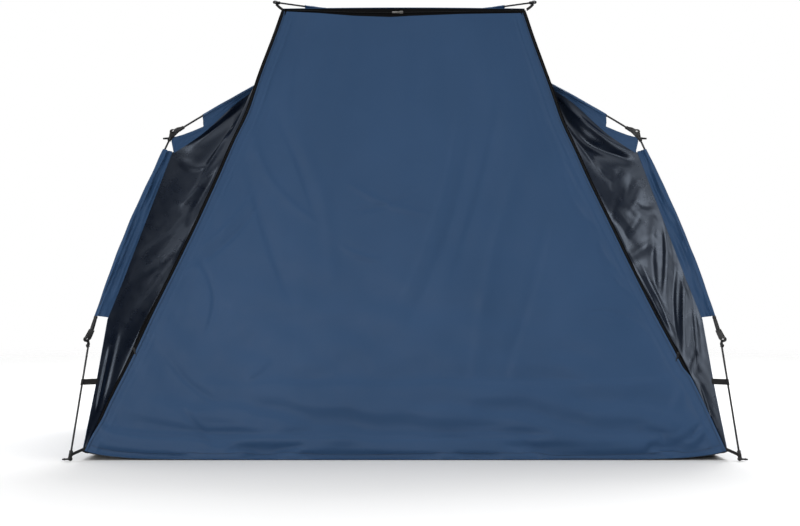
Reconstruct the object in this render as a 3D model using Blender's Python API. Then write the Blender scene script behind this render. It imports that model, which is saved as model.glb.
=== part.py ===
"""Pop-up beach tent: a sprung pole frame with six arms, a fabric shell hung inside it,
a zipped front panel that folds down on its floor hem, and four hinged lower legs.

Metres, +Z up.  The front faces -Y, the origin is on the ground under the hub.
Each leg is modelled in its own upright plane: local X runs out from the hub,
local Y is across the plane and local Z is up.
"""
import bpy
import bmesh
import numpy as np
from math import atan2, cos, hypot, pi, sin
from mathutils import Matrix

# Driving dimensions of the frame.  A pair is a point in the plane of a leg: distance from
# the hub's axis, height.
FOOT_X = 1.10
FOOT_Y = 0.65
FOOT_REACH = hypot(FOOT_X, FOOT_Y)
LEG_X = FOOT_X / FOOT_REACH
LEG_Y = FOOT_Y / FOOT_REACH
UPPER_TOP_Z = 1.548
UPPER_SLOPE = 0.377
UPPER_BEND = 0.135
UPPER_END = (0.876, 1.114)
KNUCKLE_PIN = (0.918, 1.097)
MID_TOP = (0.931, 1.064)
MID_END = (1.199, 0.447)
MID_BOW = 0.012
ELBOW_PIN = (1.222, 0.398)
LOWER_TOP = (1.2165, 0.372)
LOWER_END = (1.274, 0.033)
POLE_R = 0.00325
GAP = 0.0003

# Hub and the two front arms
HUB_R = 0.045
HUB_H = 0.054
HUB_SIDES = 48
ARM_TIP = (0.454, -0.370, 1.5535)
ARM_REACH = hypot(ARM_TIP[0], ARM_TIP[1])
ARM_X = ARM_TIP[0] / ARM_REACH
ARM_Y = ARM_TIP[1] / ARM_REACH

# Moulded joints: radii of the sockets, of the pins and of the plates round them
SOCKET_R = 0.0058
KNUCKLE_SOCKET_R = 0.0056
KNUCKLE_CHEEK_R = 0.0085
RIVET_R = 0.0042
ELBOW_CHEEK_R = 0.0088
ELBOW_TONGUE_R = 0.0082
ELBOW_PIN_R = 0.0030
ELBOW_HOLE_R = 0.0034
ELBOW_SLOT_R = 0.0135
ELBOW_SLOT_HALF = 0.0031
ELBOW_TONGUE_HALF = 0.0026

# Driving dimensions of the fabric shell
CLOTH = 0.003
SEAM_DROP = 0.0035
CREASE = (0.905, 1.062)
RIDGE = ((1.236, 0.028), (1.192, 0.235), (1.149, 0.464), (1.094, 0.593), CREASE)
RIDGE_DROP = 0.012
CROWN_R = 0.10
CROWN_Z = 1.512
ARM_CROWN_Z = 1.516
PANEL_TOP = (0.418, -0.345, 1.535)
PANEL_CLEAR = 0.0055
HINGE_Y = -0.625
HEM_R = 0.0045
ZIP_FOOT_X = 1.034
ZIP_FOOT_Z = 0.030
ZIP_BOW = 0.24
ZIP_W = 0.0145
TOP_ZIP_H = 0.0165
GUSSET_START = ZIP_W + 2.0 * GAP
FLOOR_X = 1.058
FLOOR_BACK = 0.626
SLEEVE_Z = (0.475, 1.035)
SIDE_STRAP_Z = (0.248, 0.267)
CORNER_STRAP_H = 0.011
STRAP_HALF = 0.0012

# Lean of the door's plane: run to the back for each metre of height, and its angle
LEAN_RUN = (PANEL_TOP[1] - HINGE_Y) / (PANEL_TOP[2] - HEM_R)
LEAN = atan2(PANEL_TOP[1] - HINGE_Y, PANEL_TOP[2] - HEM_R)

# Sag of the wide panels in mid span, inwards and down: at shares of the way from the crown to
# the crease for a roof panel, and at shares of the way from the crease to the ground for a wall.
ROOF_SHARES = (0.0, 0.25, 0.50, 0.75, 1.0)
WALL_SHARES = (0.0, 0.10, 0.25, 0.50, 0.75, 0.90, 1.0)
REAR_ROOF_SAG = ((0.0, 0.011, 0.024, 0.040, 0.059), (0.0, 0.027, 0.049, 0.066, 0.079))
SIDE_ROOF_SAG = ((0.0, 0.008, 0.019, 0.036, 0.064), (0.0, 0.016, 0.028, 0.039, 0.050))
REAR_WALL_SAG = (
    (0.059, 0.052, 0.044, 0.036, 0.024, 0.016, 0.011),
    (0.079, 0.067, 0.053, 0.037, 0.027, 0.009, 0.0),
)
SIDE_WALL_SAG = (
    (0.064, 0.052, 0.039, 0.034, 0.025, 0.020, 0.019),
    (0.050, 0.039, 0.028, 0.019, 0.017, 0.005, 0.0),
)

# Rows of a roof panel from the crown to the crease, and of a wall from the crease to the ground.
# Panels that share a seam share its rows, so that their edges match.
ROOF_ROWS = np.linspace(0.0005, 0.9995, 7)
WALL_ROWS = np.linspace(0.0005, 1.0, 10)
POLE_SIDES = 10

# Corner of each leg: name, side of X and side of Y
LEGS = (("front_left", -1, -1), ("front_right", 1, -1), ("rear_left", -1, 1), ("rear_right", 1, 1))
SIDES = (("left", -1), ("right", 1))

for old in list(bpy.data.objects):
    bpy.data.objects.remove(old, do_unlink=True)


def material(name, rgb, roughness, metallic=0.0):
    """One plain Principled material for a kind of sub-part."""
    mat = bpy.data.materials.new(name)
    mat.use_nodes = True
    shader = mat.node_tree.nodes["Principled BSDF"]
    shader.inputs["Base Color"].default_value = (*rgb, 1.0)
    shader.inputs["Roughness"].default_value = roughness
    shader.inputs["Metallic"].default_value = metallic
    mat.diffuse_color = (*rgb, 1.0)
    return mat


BLUE_CLOTH = material("blue_cloth", (0.032, 0.072, 0.150), 0.62)
COATED_CLOTH = material("coated_cloth", (0.016, 0.030, 0.060), 0.30)
FLOOR_CLOTH = material("floor_cloth", (0.060, 0.066, 0.075), 0.55)
BLACK_POLE = material("black_pole", (0.010, 0.010, 0.012), 0.30)
BLACK_NYLON = material("black_nylon", (0.012, 0.012, 0.013), 0.42)
BLACK_WEBBING = material("black_webbing", (0.011, 0.011, 0.012), 0.80)
BLACK_ZIP = material("black_zip", (0.013, 0.013, 0.014), 0.60)


def mesh_from(name, verts, faces):
    """A closed mesh with its faces turned outwards."""
    bm = bmesh.new()
    made = [bm.verts.new(v) for v in verts]
    for face in faces:
        bm.faces.new([made[i] for i in face])
    bmesh.ops.recalc_face_normals(bm, faces=bm.faces)
    mesh = bpy.data.meshes.new(name)
    bm.to_mesh(mesh)
    bm.free()
    return mesh


def smooth(mesh, degrees=40.0):
    mesh.shade_smooth()
    mesh.set_sharp_from_angle(angle=degrees * pi / 180.0)
    return mesh


def place(name, mesh, mat, parent=None, location=(0.0, 0.0, 0.0)):
    """One named object; pieces that repeat share their mesh."""
    if not mesh.materials:
        mesh.materials.append(mat)
    obj = bpy.data.objects.new(name, mesh)
    bpy.context.scene.collection.objects.link(obj)
    obj.parent = parent
    obj.location = location
    return obj


def empty(name, location, turn=0.0, parent=None):
    obj = bpy.data.objects.new(name, None)
    bpy.context.scene.collection.objects.link(obj)
    obj.location = location
    obj.rotation_euler = (0.0, 0.0, turn)
    obj.parent = parent
    return obj


def shell(name, outer, inner):
    """A thin closed solid between two grids of points of the same size."""
    rows, cols = outer.shape[:2]
    verts = np.concatenate([outer.reshape(-1, 3), inner.reshape(-1, 3)])
    index = np.arange(rows * cols).reshape(rows, cols)
    back = index + rows * cols
    faces = []
    for grid in (index, back):
        quads = np.stack([grid[:-1, :-1], grid[1:, :-1], grid[1:, 1:], grid[:-1, 1:]], axis=-1)
        faces.extend(quads.reshape(-1, 4).tolist())
    rim = np.concatenate([index[0, :-1], index[:-1, -1], index[-1, :0:-1], index[:0:-1, 0]])
    rim_back = rim + rows * cols
    sides = [rim, np.roll(rim, -1), np.roll(rim_back, -1), rim_back]
    faces.extend(np.stack(sides, axis=-1).tolist())
    return mesh_from(name, verts.tolist(), faces)


def tube(name, path, radii, sides=POLE_SIDES):
    """A round bar along points of the local XZ plane, with a radius for each point."""
    points = np.array([(p[0], 0.0, p[1]) for p in path])
    ahead = np.gradient(points, axis=0)
    ahead /= np.linalg.norm(ahead, axis=1)[:, None]
    across = np.array([0.0, 1.0, 0.0])
    up = np.cross(ahead, across)
    turn = np.linspace(0.0, 2.0 * pi, sides, endpoint=False)
    ring = np.cos(turn)[None, :, None] * across + np.sin(turn)[None, :, None] * up[:, None, :]
    verts = (points[:, None, :] + ring * np.array(radii)[:, None, None]).reshape(-1, 3)
    faces = [list(range(sides)), list(range(len(verts) - sides, len(verts)))]
    for row in range(len(path) - 1):
        low = row * sides
        high = low + sides
        for k in range(sides):
            after = (k + 1) % sides
            faces.append([low + k, low + after, high + after, high + k])
    return smooth(mesh_from(name, verts.tolist(), faces))


def prism(name, outline, half):
    """A plate: an outline in the local XZ plane, drawn out along local Y to both sides."""
    count = len(outline)
    verts = [(x, -half, z) for x, z in outline] + [(x, half, z) for x, z in outline]
    faces = [list(range(count)), list(range(count, 2 * count))]
    for k in range(count):
        after = (k + 1) % count
        faces.append([k, after, count + after, count + k])
    return mesh_from(name, verts, faces)


def circle(centre, radius, start=0.0, stop=2.0 * pi, steps=16):
    """Points of an arc in the local XZ plane, from start to stop, in radians from +X."""
    closed = abs(stop - start - 2.0 * pi) < 1e-9
    angles = np.linspace(start, stop, steps, endpoint=not closed)
    return [(centre[0] + radius * cos(a), centre[1] + radius * sin(a)) for a in angles]


def combined(name, base, *steps):
    """The mesh of base after each (operation, other mesh) step of solid arithmetic."""
    scene = bpy.context.scene.collection.objects
    body = bpy.data.objects.new(name, base)
    scene.link(body)
    others = []
    for operation, mesh in steps:
        other = bpy.data.objects.new(name + "_step", mesh)
        scene.link(other)
        others.append(other)
        modifier = body.modifiers.new("join", "BOOLEAN")
        modifier.operation = operation
        modifier.solver = "EXACT"
        modifier.object = other
    bpy.context.view_layer.update()
    seen = body.evaluated_get(bpy.context.evaluated_depsgraph_get())
    result = bpy.data.meshes.new_from_object(seen)
    result.name = name
    for obj in [body, *others]:
        bpy.data.objects.remove(obj, do_unlink=True)
    return smooth(result, 35.0)


def step(point, run, rise, distance):
    """The point at a distance from another in the direction (run, rise) of the leg plane."""
    length = hypot(run, rise)
    return (point[0] + run / length * distance, point[1] + rise / length * distance)


def towards(start, end, distance):
    """The point at a distance from start on the line to end."""
    return step(start, end[0] - start[0], end[1] - start[1], distance)


def upper_pole_z(reach):
    """Height of an upper pole's axis: it slopes down and bends more towards the knuckle."""
    return UPPER_TOP_Z - UPPER_SLOPE * reach - UPPER_BEND * reach ** 2


def mid_pole_x(z):
    """Reach of the middle pole's axis at a height: a chord bowed outwards."""
    share = (MID_TOP[1] - z) / (MID_TOP[1] - MID_END[1])
    return MID_TOP[0] + (MID_END[0] - MID_TOP[0]) * share + MID_BOW * np.sin(pi * share)


def lower_pole_x(z):
    """Reach of the lower pole's axis at a height."""
    share = (LOWER_TOP[1] - z) / (LOWER_TOP[1] - LOWER_END[1])
    return LOWER_TOP[0] + (LOWER_END[0] - LOWER_TOP[0]) * share


def ridge_x(z):
    """Reach of the shell's seam under the middle and lower poles, at a height."""
    return np.interp(z, [p[1] for p in RIDGE], [p[0] for p in RIDGE])


def ridge_top_z(reach):
    """Height of the shell's seam under an upper pole, which drops away towards the crease."""
    share = (reach - CROWN_R) / (CREASE[0] - CROWN_R)
    rise = CREASE[1] - upper_pole_z(CREASE[0])
    return upper_pole_z(reach) - RIDGE_DROP + (rise + RIDGE_DROP) * share ** 3


def stack(x, y, z):
    """Points from arrays of coordinates that share one shape, or widen to it."""
    return np.stack(np.broadcast_arrays(x, y, z), axis=-1)


def upper_edge(side, end, reach):
    """Outer and inner points of a roof seam, under the upper pole of one leg."""
    height = ridge_top_z(reach)
    share = (reach - CROWN_R) / (CREASE[0] - CROWN_R)
    inset = reach - 0.004 * share
    drop = 0.004 - 0.001 * share
    outer = stack(side * LEG_X * reach, end * LEG_Y * reach, height)
    inner = stack(side * LEG_X * inset, end * LEG_Y * inset, height - drop)
    return outer, inner


def lower_edge(side, end, height):
    """Outer and inner points of a wall seam, inside the middle and lower poles of one leg."""
    reach = ridge_x(height)
    share = np.clip((height - 0.8) / (CREASE[1] - 0.8), 0.0, 1.0)
    inset = reach - 0.005 + 0.001 * share
    drop = 0.003 * share
    outer = stack(side * LEG_X * reach, end * LEG_Y * reach, height)
    inner = stack(side * LEG_X * inset, end * LEG_Y * inset, height - drop)
    return outer, inner


def arm_edge(side, share):
    """Outer and inner points of the seam under a front arm, from the crown to the panel top."""
    start = np.array([side * CROWN_R * ARM_X, CROWN_R * ARM_Y, ARM_CROWN_Z])
    end = np.array([side * (PANEL_TOP[0] + GUSSET_START), PANEL_TOP[1], PANEL_TOP[2]])
    outer = start + (end - start) * share[:, None]
    return outer, outer - np.array([0.0, 0.0, SEAM_DROP])


def door_half(share):
    """Half width of the door opening at a share of its height, top down.

    A straight taper that is bowed inwards most at a third of its height from the top.
    """
    taper = PANEL_TOP[0] + (ZIP_FOOT_X - PANEL_TOP[0]) * share
    return taper - ZIP_BOW * share * (1.0 - share) ** 2


def zip_edge(side, share, shift):
    """Front and back points of a door edge, moved outwards by shift."""
    foot_y = HINGE_Y + (ZIP_FOOT_Z - HEM_R) * LEAN_RUN
    x = door_half(share) + shift
    y = PANEL_TOP[1] + (foot_y - PANEL_TOP[1]) * share
    z = PANEL_TOP[2] + (ZIP_FOOT_Z - PANEL_TOP[2]) * share
    turned = np.clip(share * 12.0, 0.0, 1.0)
    outer = stack(side * x, y, z)
    inner = stack(side * x, y + CLOTH * turned, z - SEAM_DROP * (1.0 - turned))
    return outer, inner


def panel_between(name, edge_a, edge_b, cols, sag=None, fall=None):
    """A cloth panel ruled between two edges, kept a seam gap short of each.

    sag is one vector for each row, reached in mid row and growing to it as a parabola does;
    fall lowers the last rows to the floor.
    """
    grids = []
    for first, second in zip(edge_a, edge_b):
        span = second - first
        length = np.linalg.norm(span, axis=1)[:, None]
        inset = GAP / length
        u = inset + (1.0 - 2.0 * inset) * np.linspace(0.0, 1.0, cols + 1)[None, :]
        points = first[:, None, :] + span[:, None, :] * u[..., None]
        if sag is not None:
            points = points + sag[:, None, :] * (4.0 * u * (1.0 - u))[..., None]
        if fall is not None:
            middle = 1.0 - (2.0 * u - 1.0) ** 6
            points[..., 2] -= fall[:, None] * middle
        grids.append(points)
    return shell(name, grids[0], grids[1])


def sag_vectors(shares, table, at, inward):
    """Sag of each row as a vector, from a table of its inward and downward parts."""
    level = np.interp(at, shares, table[0])
    drop = np.interp(at, shares, table[1])
    return stack(inward[0] * level, inward[1] * level, -drop)


def walls():
    """Rear and side walls below the crease, and the roof panels above it."""
    reach = CROWN_R + (CREASE[0] - CROWN_R) * ROOF_ROWS
    height = CREASE[1] + (RIDGE[0][1] - CREASE[1]) * WALL_ROWS
    depth = (CREASE[1] - height) / (CREASE[1] - RIDGE[0][1])
    fall = (RIDGE[0][1] - CLOTH - 1.5 * GAP) * np.clip(depth * 4.0 - 3.0, 0.0, 1.0)
    rear = (REAR_ROOF_SAG, REAR_WALL_SAG)
    flank = (SIDE_ROOF_SAG, SIDE_WALL_SAG)
    for roof_name, wall_name, ends, inward, (roof_table, wall_table) in (
        ("rear_roof", "rear_wall", ((-1, 1), (1, 1)), (0.0, -1.0), rear),
        ("side_roof_left", "side_wall_left", ((-1, -1), (-1, 1)), (1.0, 0.0), flank),
        ("side_roof_right", "side_wall_right", ((1, 1), (1, -1)), (-1.0, 0.0), flank),
    ):
        roof_edges = [upper_edge(*end, reach) for end in ends]
        roof_sag = sag_vectors(ROOF_SHARES, roof_table, ROOF_ROWS, inward)
        place(roof_name, panel_between(roof_name, *roof_edges, 10, roof_sag), BLUE_CLOTH)
        wall_edges = [lower_edge(*end, height) for end in ends]
        wall_sag = sag_vectors(WALL_SHARES, wall_table, WALL_ROWS, inward)
        place(wall_name, panel_between(wall_name, *wall_edges, 10, wall_sag, fall), BLUE_CLOTH)


def front_shell():
    """Roof between the arms, and on each side a shoulder above a gusset beside the door."""
    share = np.linspace(0.001, 1.0, 5)
    roof = panel_between("front_roof", arm_edge(-1, share), arm_edge(1, share), 6)
    place("front_roof", roof, BLUE_CLOTH)
    reach = CROWN_R + (CREASE[0] - CROWN_R) * ROOF_ROWS
    height = CREASE[1] + (RIDGE[0][1] - CREASE[1]) * WALL_ROWS
    for name, side in SIDES:
        shoulder = panel_between("shoulder", arm_edge(side, ROOF_ROWS), upper_edge(side, -1, reach), 4)
        place("shoulder_" + name, shoulder, COATED_CLOTH)
        door_side = zip_edge(side, WALL_ROWS, GUSSET_START)
        gusset = panel_between("gusset", door_side, lower_edge(side, -1, height), 4)
        place("gusset_" + name, gusset, COATED_CLOTH)


def zips():
    """The zip bands that frame the door: one up each side and one across the top."""
    for name, side in SIDES:
        near = zip_edge(side, WALL_ROWS, 0.0)
        far = zip_edge(side, WALL_ROWS, ZIP_W)
        place("zip_" + name, panel_between("zip", near, far, 1), BLACK_ZIP)
    half = PANEL_TOP[0] - 0.004
    level = np.array([-GAP - SEAM_DROP, -GAP - TOP_ZIP_H])[:, None]
    x = np.array([-half, half])[None, :]
    y = PANEL_TOP[1] + level * LEAN_RUN
    z = PANEL_TOP[2] + level
    front = stack(x, y - CLOTH / 2.0, z)
    back = stack(x, y + CLOTH / 2.0, z)
    place("zip_top", shell("zip_top", front, back), BLACK_ZIP)


def floor():
    """Floor sheet whose front edge is a round hem, on which the front panel turns."""
    above = CLOTH - HEM_R
    meet = atan2(above, (HEM_R ** 2 - above ** 2) ** 0.5)
    hem = circle((HINGE_Y, HEM_R), HEM_R, meet, 1.5 * pi, 14)
    mesh = prism("floor", [(FLOOR_BACK, 0.0), (FLOOR_BACK, CLOTH)] + hem, FLOOR_X)
    mesh.transform(Matrix.Rotation(pi / 2.0, 4, "Z"))
    place("floor", mesh, FLOOR_CLOTH)


def front_panel():
    """The door: a flat panel that leans back, with its origin on the hem's axis."""
    top = (PANEL_TOP[2] - HEM_R) / cos(LEAN) - TOP_ZIP_H - GAP - PANEL_CLEAR
    up = np.linspace(HEM_R + GAP, top, 10)
    share = np.clip((PANEL_TOP[2] - HEM_R - up * cos(LEAN)) / (PANEL_TOP[2] - ZIP_FOOT_Z), 0.0, 1.0)
    half = door_half(share) - PANEL_CLEAR
    x = half[:, None] * np.linspace(-1.0, 1.0, 3)[None, :]
    faces = []
    for off in (-CLOTH / 2.0, CLOTH / 2.0):
        y = up * sin(LEAN) + off * cos(LEAN)
        z = up * cos(LEAN) - off * sin(LEAN)
        faces.append(stack(x, y[:, None], z[:, None]))
    place("front_panel", shell("front_panel", *faces), BLUE_CLOTH, location=(0.0, HINGE_Y, HEM_R))


def hub():
    """Moulded hub on a crown patch whose six corners lie on the six seams."""
    seam_z = float(ridge_top_z(CROWN_R))
    corners = [
        (LEG_X * CROWN_R, LEG_Y * CROWN_R, seam_z),
        (-LEG_X * CROWN_R, LEG_Y * CROWN_R, seam_z),
        (-LEG_X * CROWN_R, -LEG_Y * CROWN_R, seam_z),
        (-ARM_X * CROWN_R, ARM_Y * CROWN_R, ARM_CROWN_Z),
        (ARM_X * CROWN_R, ARM_Y * CROWN_R, ARM_CROWN_Z),
        (LEG_X * CROWN_R, -LEG_Y * CROWN_R, seam_z),
    ]
    verts = corners + [(x, y, z - CLOTH) for x, y, z in corners]
    verts += [(0.0, 0.0, CROWN_Z), (0.0, 0.0, CROWN_Z - CLOTH)]
    faces = []
    for k in range(6):
        after = (k + 1) % 6
        faces += [[k, after, 12], [6 + k, 6 + after, 13], [k, after, 6 + after, 6 + k]]
    crown = mesh_from("crown", verts, faces)
    profile = [(-0.002, HUB_R), (HUB_H - 0.016, HUB_R), (HUB_H - 0.005, 0.8 * HUB_R), (HUB_H, 0.45 * HUB_R)]
    turn = np.linspace(0.0, 2.0 * pi, HUB_SIDES, endpoint=False)
    rings = [stack(r * np.cos(turn), r * np.sin(turn), CROWN_Z + level) for level, r in profile]
    points = np.concatenate(rings).tolist()
    sides = [list(range(HUB_SIDES)), list(range(len(points) - HUB_SIDES, len(points)))]
    for row in range(len(profile) - 1):
        low = row * HUB_SIDES
        high = low + HUB_SIDES
        for k in range(HUB_SIDES):
            after = (k + 1) % HUB_SIDES
            sides.append([low + k, low + after, high + after, high + k])
    cap = mesh_from("hub_cap", points, sides)
    place("hub", combined("hub", cap, ("UNION", crown)), BLACK_NYLON)


def arms():
    """The two short front arms, each a pole that ends in a moulded tip."""
    tip = (ARM_REACH, ARM_TIP[2])
    root = (HUB_R + GAP, UPPER_TOP_Z)
    collar = towards(tip, root, 0.024)
    path = [root, towards(root, tip, 0.18), towards(root, tip, 0.36), towards(tip, root, 0.0245), collar]
    path += [towards(tip, root, 0.003), tip]
    mesh = tube("arm", path, [POLE_R] * 4 + [0.0062, 0.0062, 0.0045])
    for name, side in SIDES:
        plane = empty("arm_plane_" + name, (0.0, 0.0, 0.0), atan2(ARM_Y, side * ARM_X))
        place("arm_" + name, mesh, BLACK_POLE, plane)


def knuckle_mesh():
    """Shoulder joint of a leg: two sockets, a wedge with its rivet, and a short toggle."""
    rise = -UPPER_SLOPE - 2.0 * UPPER_BEND * UPPER_END[0]
    upper_path = [step(UPPER_END, 1.0, rise, GAP), step(UPPER_END, 1.0, rise, 0.040)]
    upper_socket = tube("socket", upper_path, [KNUCKLE_SOCKET_R, KNUCKLE_SOCKET_R + 0.001])
    run = MID_END[0] - MID_TOP[0] + MID_BOW * pi
    drop = MID_END[1] - MID_TOP[1]
    lower_path = [step(MID_TOP, run, drop, -0.026), step(MID_TOP, run, drop, -GAP)]
    lower_socket = tube("socket", lower_path, [KNUCKLE_SOCKET_R + 0.001, KNUCKLE_SOCKET_R])
    outline = circle(KNUCKLE_PIN, KNUCKLE_CHEEK_R, -0.35, 2.1, 8)
    outline += [(0.884, 1.1155), (0.886, 1.105), (0.915, 1.077), (0.922, 1.069), (0.931, 1.071)]
    wedge = prism("wedge", outline, 0.0052)
    rivet = prism("rivet", circle(KNUCKLE_PIN, RIVET_R, steps=12), 0.0078)
    toggle = tube("toggle", [(0.921, 1.0745), (0.952, 1.0715)], [0.0040, 0.0032], 8)
    parts = [("UNION", mesh) for mesh in (upper_socket, lower_socket, rivet, toggle)]
    return combined("knuckle", wedge, *parts)


def elbow_upper_mesh():
    """Fixed half of the elbow: a socket, two ears with a slot between them, and the pin."""
    run = MID_END[0] - MID_TOP[0] - MID_BOW * pi
    rise = MID_END[1] - MID_TOP[1]
    path = [step(MID_END, run, rise, GAP), step(MID_END, run, rise, 0.030)]
    socket = tube("socket", path, [SOCKET_R, SOCKET_R + 0.0012])
    cheek = circle(ELBOW_PIN, ELBOW_CHEEK_R, -1.9, 1.15, 10)
    cheek += [(1.2105, 0.432), (1.196, 0.426), (1.2085, 0.399)]
    ears = prism("ears", cheek, 0.0072)
    slot = prism("slot", circle(ELBOW_PIN, ELBOW_SLOT_R, steps=20), ELBOW_SLOT_HALF)
    pin = prism("pin", circle(ELBOW_PIN, ELBOW_PIN_R, steps=12), 0.0086)
    return combined("elbow_upper", ears, ("UNION", socket), ("DIFFERENCE", slot), ("UNION", pin))


def hung(mesh):
    """Moves a mesh drawn in the leg plane so that its origin is on the elbow's pin."""
    mesh.transform(Matrix.Translation((-ELBOW_PIN[0], 0.0, -ELBOW_PIN[1])))
    return mesh


def elbow_lower_mesh():
    """Moving half of the elbow: a tongue on the pin, and the socket of the lower pole.

    The tongue's outer edge is cut back so that it passes the ears when the leg is folded up.
    """
    run = LOWER_TOP[0] - LOWER_END[0]
    rise = LOWER_TOP[1] - LOWER_END[1]
    path = [step(LOWER_TOP, run, rise, 0.0105), step(LOWER_TOP, run, rise, GAP)]
    socket = tube("socket", path, [SOCKET_R + 0.0004, SOCKET_R])
    outline = circle(ELBOW_PIN, ELBOW_TONGUE_R, -0.5, 3.3, 12)
    outline += [(1.2105, 0.3835), (1.2108, 0.379), (1.2205, 0.379), (1.2190, 0.3868)]
    tongue = prism("tongue", outline, ELBOW_TONGUE_HALF)
    hole = prism("hole", circle(ELBOW_PIN, ELBOW_HOLE_R, steps=16), 0.010)
    return hung(combined("elbow_lower", tongue, ("UNION", socket), ("DIFFERENCE", hole)))


def foot_mesh():
    """Foot: a socket, a round base with a flat sole, and a short stub that points outwards."""
    base_z = 0.0085
    path = [towards(LOWER_END, LOWER_TOP, -GAP), (lower_pole_x(base_z), base_z)]
    socket = tube("socket", path, [SOCKET_R, SOCKET_R + 0.0004])
    sole = prism("sole", circle((FOOT_REACH, 0.007), 0.007, steps=14), 0.0055)
    stub = tube("stub", [(FOOT_REACH, 0.0065), (FOOT_REACH + 0.027, 0.0065)], [0.0032, 0.0028], 8)
    return hung(combined("foot", sole, ("UNION", socket), ("UNION", stub)))


def strap_mesh(name, low, clear, drop, height):
    """A strap in the leg plane, from beside the lower pole to the shell's seam.

    low is the height of its lower edge at the pole; drop lowers its end at the seam.
    """
    ends = np.array([low, low + height])
    at_pole = [(float(lower_pole_x(z)) - clear, z) for z in ends]
    at_seam = [(float(ridge_x(z - drop)) + 1.5 * GAP, z - drop) for z in ends[::-1]]
    return hung(prism(name, at_pole + at_seam, STRAP_HALF))


def sleeve_mesh():
    """Flap of cloth that hangs the shell's seam on the middle pole."""
    heights = np.linspace(SLEEVE_Z[1], SLEEVE_Z[0], 9)
    at_pole = [(float(mid_pole_x(z)) - 1.1 * POLE_R - 1.6 * GAP, z) for z in heights]
    at_seam = [(float(ridge_x(z)) + 2.0 * GAP, z) for z in heights[::-1]]
    return prism("sleeve", at_pole + at_seam, CLOTH / 2.0)


def legs():
    """Four legs of the same pieces; the lower ones hang on an empty at the elbow's pin."""
    reach = np.linspace(HUB_R + GAP + POLE_R * UPPER_SLOPE, UPPER_END[0], 8)
    heights = np.linspace(MID_TOP[1], MID_END[1], 10)
    strap_low, strap_high = SIDE_STRAP_Z
    upper_pole = tube("upper_pole", [(r, upper_pole_z(r)) for r in reach], [POLE_R] * 8)
    middle_pole = tube("middle_pole", [(mid_pole_x(z), z) for z in heights], [POLE_R] * 10)
    fixed = (
        ("upper_pole", upper_pole, BLACK_POLE),
        ("knuckle", knuckle_mesh(), BLACK_NYLON),
        ("middle_pole", middle_pole, BLACK_POLE),
        ("sleeve", sleeve_mesh(), BLUE_CLOTH),
        ("elbow_upper", elbow_upper_mesh(), BLACK_NYLON),
    )
    side_strap = strap_mesh("side_strap", strap_low, POLE_R + 1.2 * GAP, 0.0, strap_high - strap_low)
    corner_strap = strap_mesh("corner_strap", 0.013, SOCKET_R + 0.0005 + GAP, -0.019, CORNER_STRAP_H)
    moving = (
        ("elbow_lower", elbow_lower_mesh(), BLACK_NYLON),
        ("lower_pole", hung(tube("lower_pole", [LOWER_TOP, LOWER_END], [POLE_R] * 2)), BLACK_POLE),
        ("foot", foot_mesh(), BLACK_NYLON),
        ("side_strap", side_strap, BLACK_WEBBING),
        ("corner_strap", corner_strap, BLACK_WEBBING),
    )
    for name, side, end in LEGS:
        plane = empty("leg_plane_" + name, (0.0, 0.0, 0.0), atan2(end * LEG_Y, side * LEG_X))
        pin = empty("elbow_pin_" + name, (ELBOW_PIN[0], 0.0, ELBOW_PIN[1]), 0.0, plane)
        for piece, mesh, mat in fixed:
            place(piece + "_" + name, mesh, mat, plane)
        for piece, mesh, mat in moving:
            place(piece + "_" + name, mesh, mat, pin)


walls()
front_shell()
zips()
floor()
front_panel()
hub()
arms()
legs()
bpy.context.view_layer.update()
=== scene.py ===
# %% [markdown]
# # A pop-up beach tent, dressed piece by piece
#
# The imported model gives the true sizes: poles, joints and plain closed solids for the cloth.
# This notebook gives each of them its looks.  Cloth is made as real cloth is: a sheet is stretched
# between its seams like a soap film, it gets the folds that hang in it, and then a small cloth
# solver lets it settle.  The hard parts are lofts and plates with rounded edges.

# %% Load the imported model
import bpy
import bmesh
import numpy as np
from math import atan2, hypot, pi, radians
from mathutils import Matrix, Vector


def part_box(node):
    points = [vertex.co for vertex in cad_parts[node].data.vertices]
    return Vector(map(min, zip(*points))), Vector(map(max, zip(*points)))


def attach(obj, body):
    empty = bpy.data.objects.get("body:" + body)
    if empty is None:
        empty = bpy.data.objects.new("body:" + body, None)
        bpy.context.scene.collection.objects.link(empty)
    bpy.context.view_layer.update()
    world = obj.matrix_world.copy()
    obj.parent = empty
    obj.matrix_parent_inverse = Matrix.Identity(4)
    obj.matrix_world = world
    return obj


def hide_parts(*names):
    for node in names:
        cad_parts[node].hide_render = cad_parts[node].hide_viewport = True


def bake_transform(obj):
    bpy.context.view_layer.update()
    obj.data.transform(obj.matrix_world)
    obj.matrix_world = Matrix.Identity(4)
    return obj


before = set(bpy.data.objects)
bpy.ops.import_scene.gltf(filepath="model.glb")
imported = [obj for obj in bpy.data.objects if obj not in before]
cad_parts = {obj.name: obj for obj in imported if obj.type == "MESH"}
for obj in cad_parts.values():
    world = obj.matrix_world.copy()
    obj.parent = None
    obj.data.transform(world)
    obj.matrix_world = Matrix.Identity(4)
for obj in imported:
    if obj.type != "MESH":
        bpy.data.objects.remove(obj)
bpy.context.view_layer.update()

# %% [markdown]
# ## The view
#
# The tent was photographed from the front with a long lens at the height of its middle, so its
# upright lines stay upright.  A level camera with no shift gives the same picture.  The lens is
# stated by its focal length in picture widths, which is what a photo can be measured for.

# %% Camera
CAMERA_PLACE = (-0.0164, -5.85, 0.65)
FOCAL_IN_WIDTHS = 1583.0 / 800.0
SENSOR = 36.0

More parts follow.
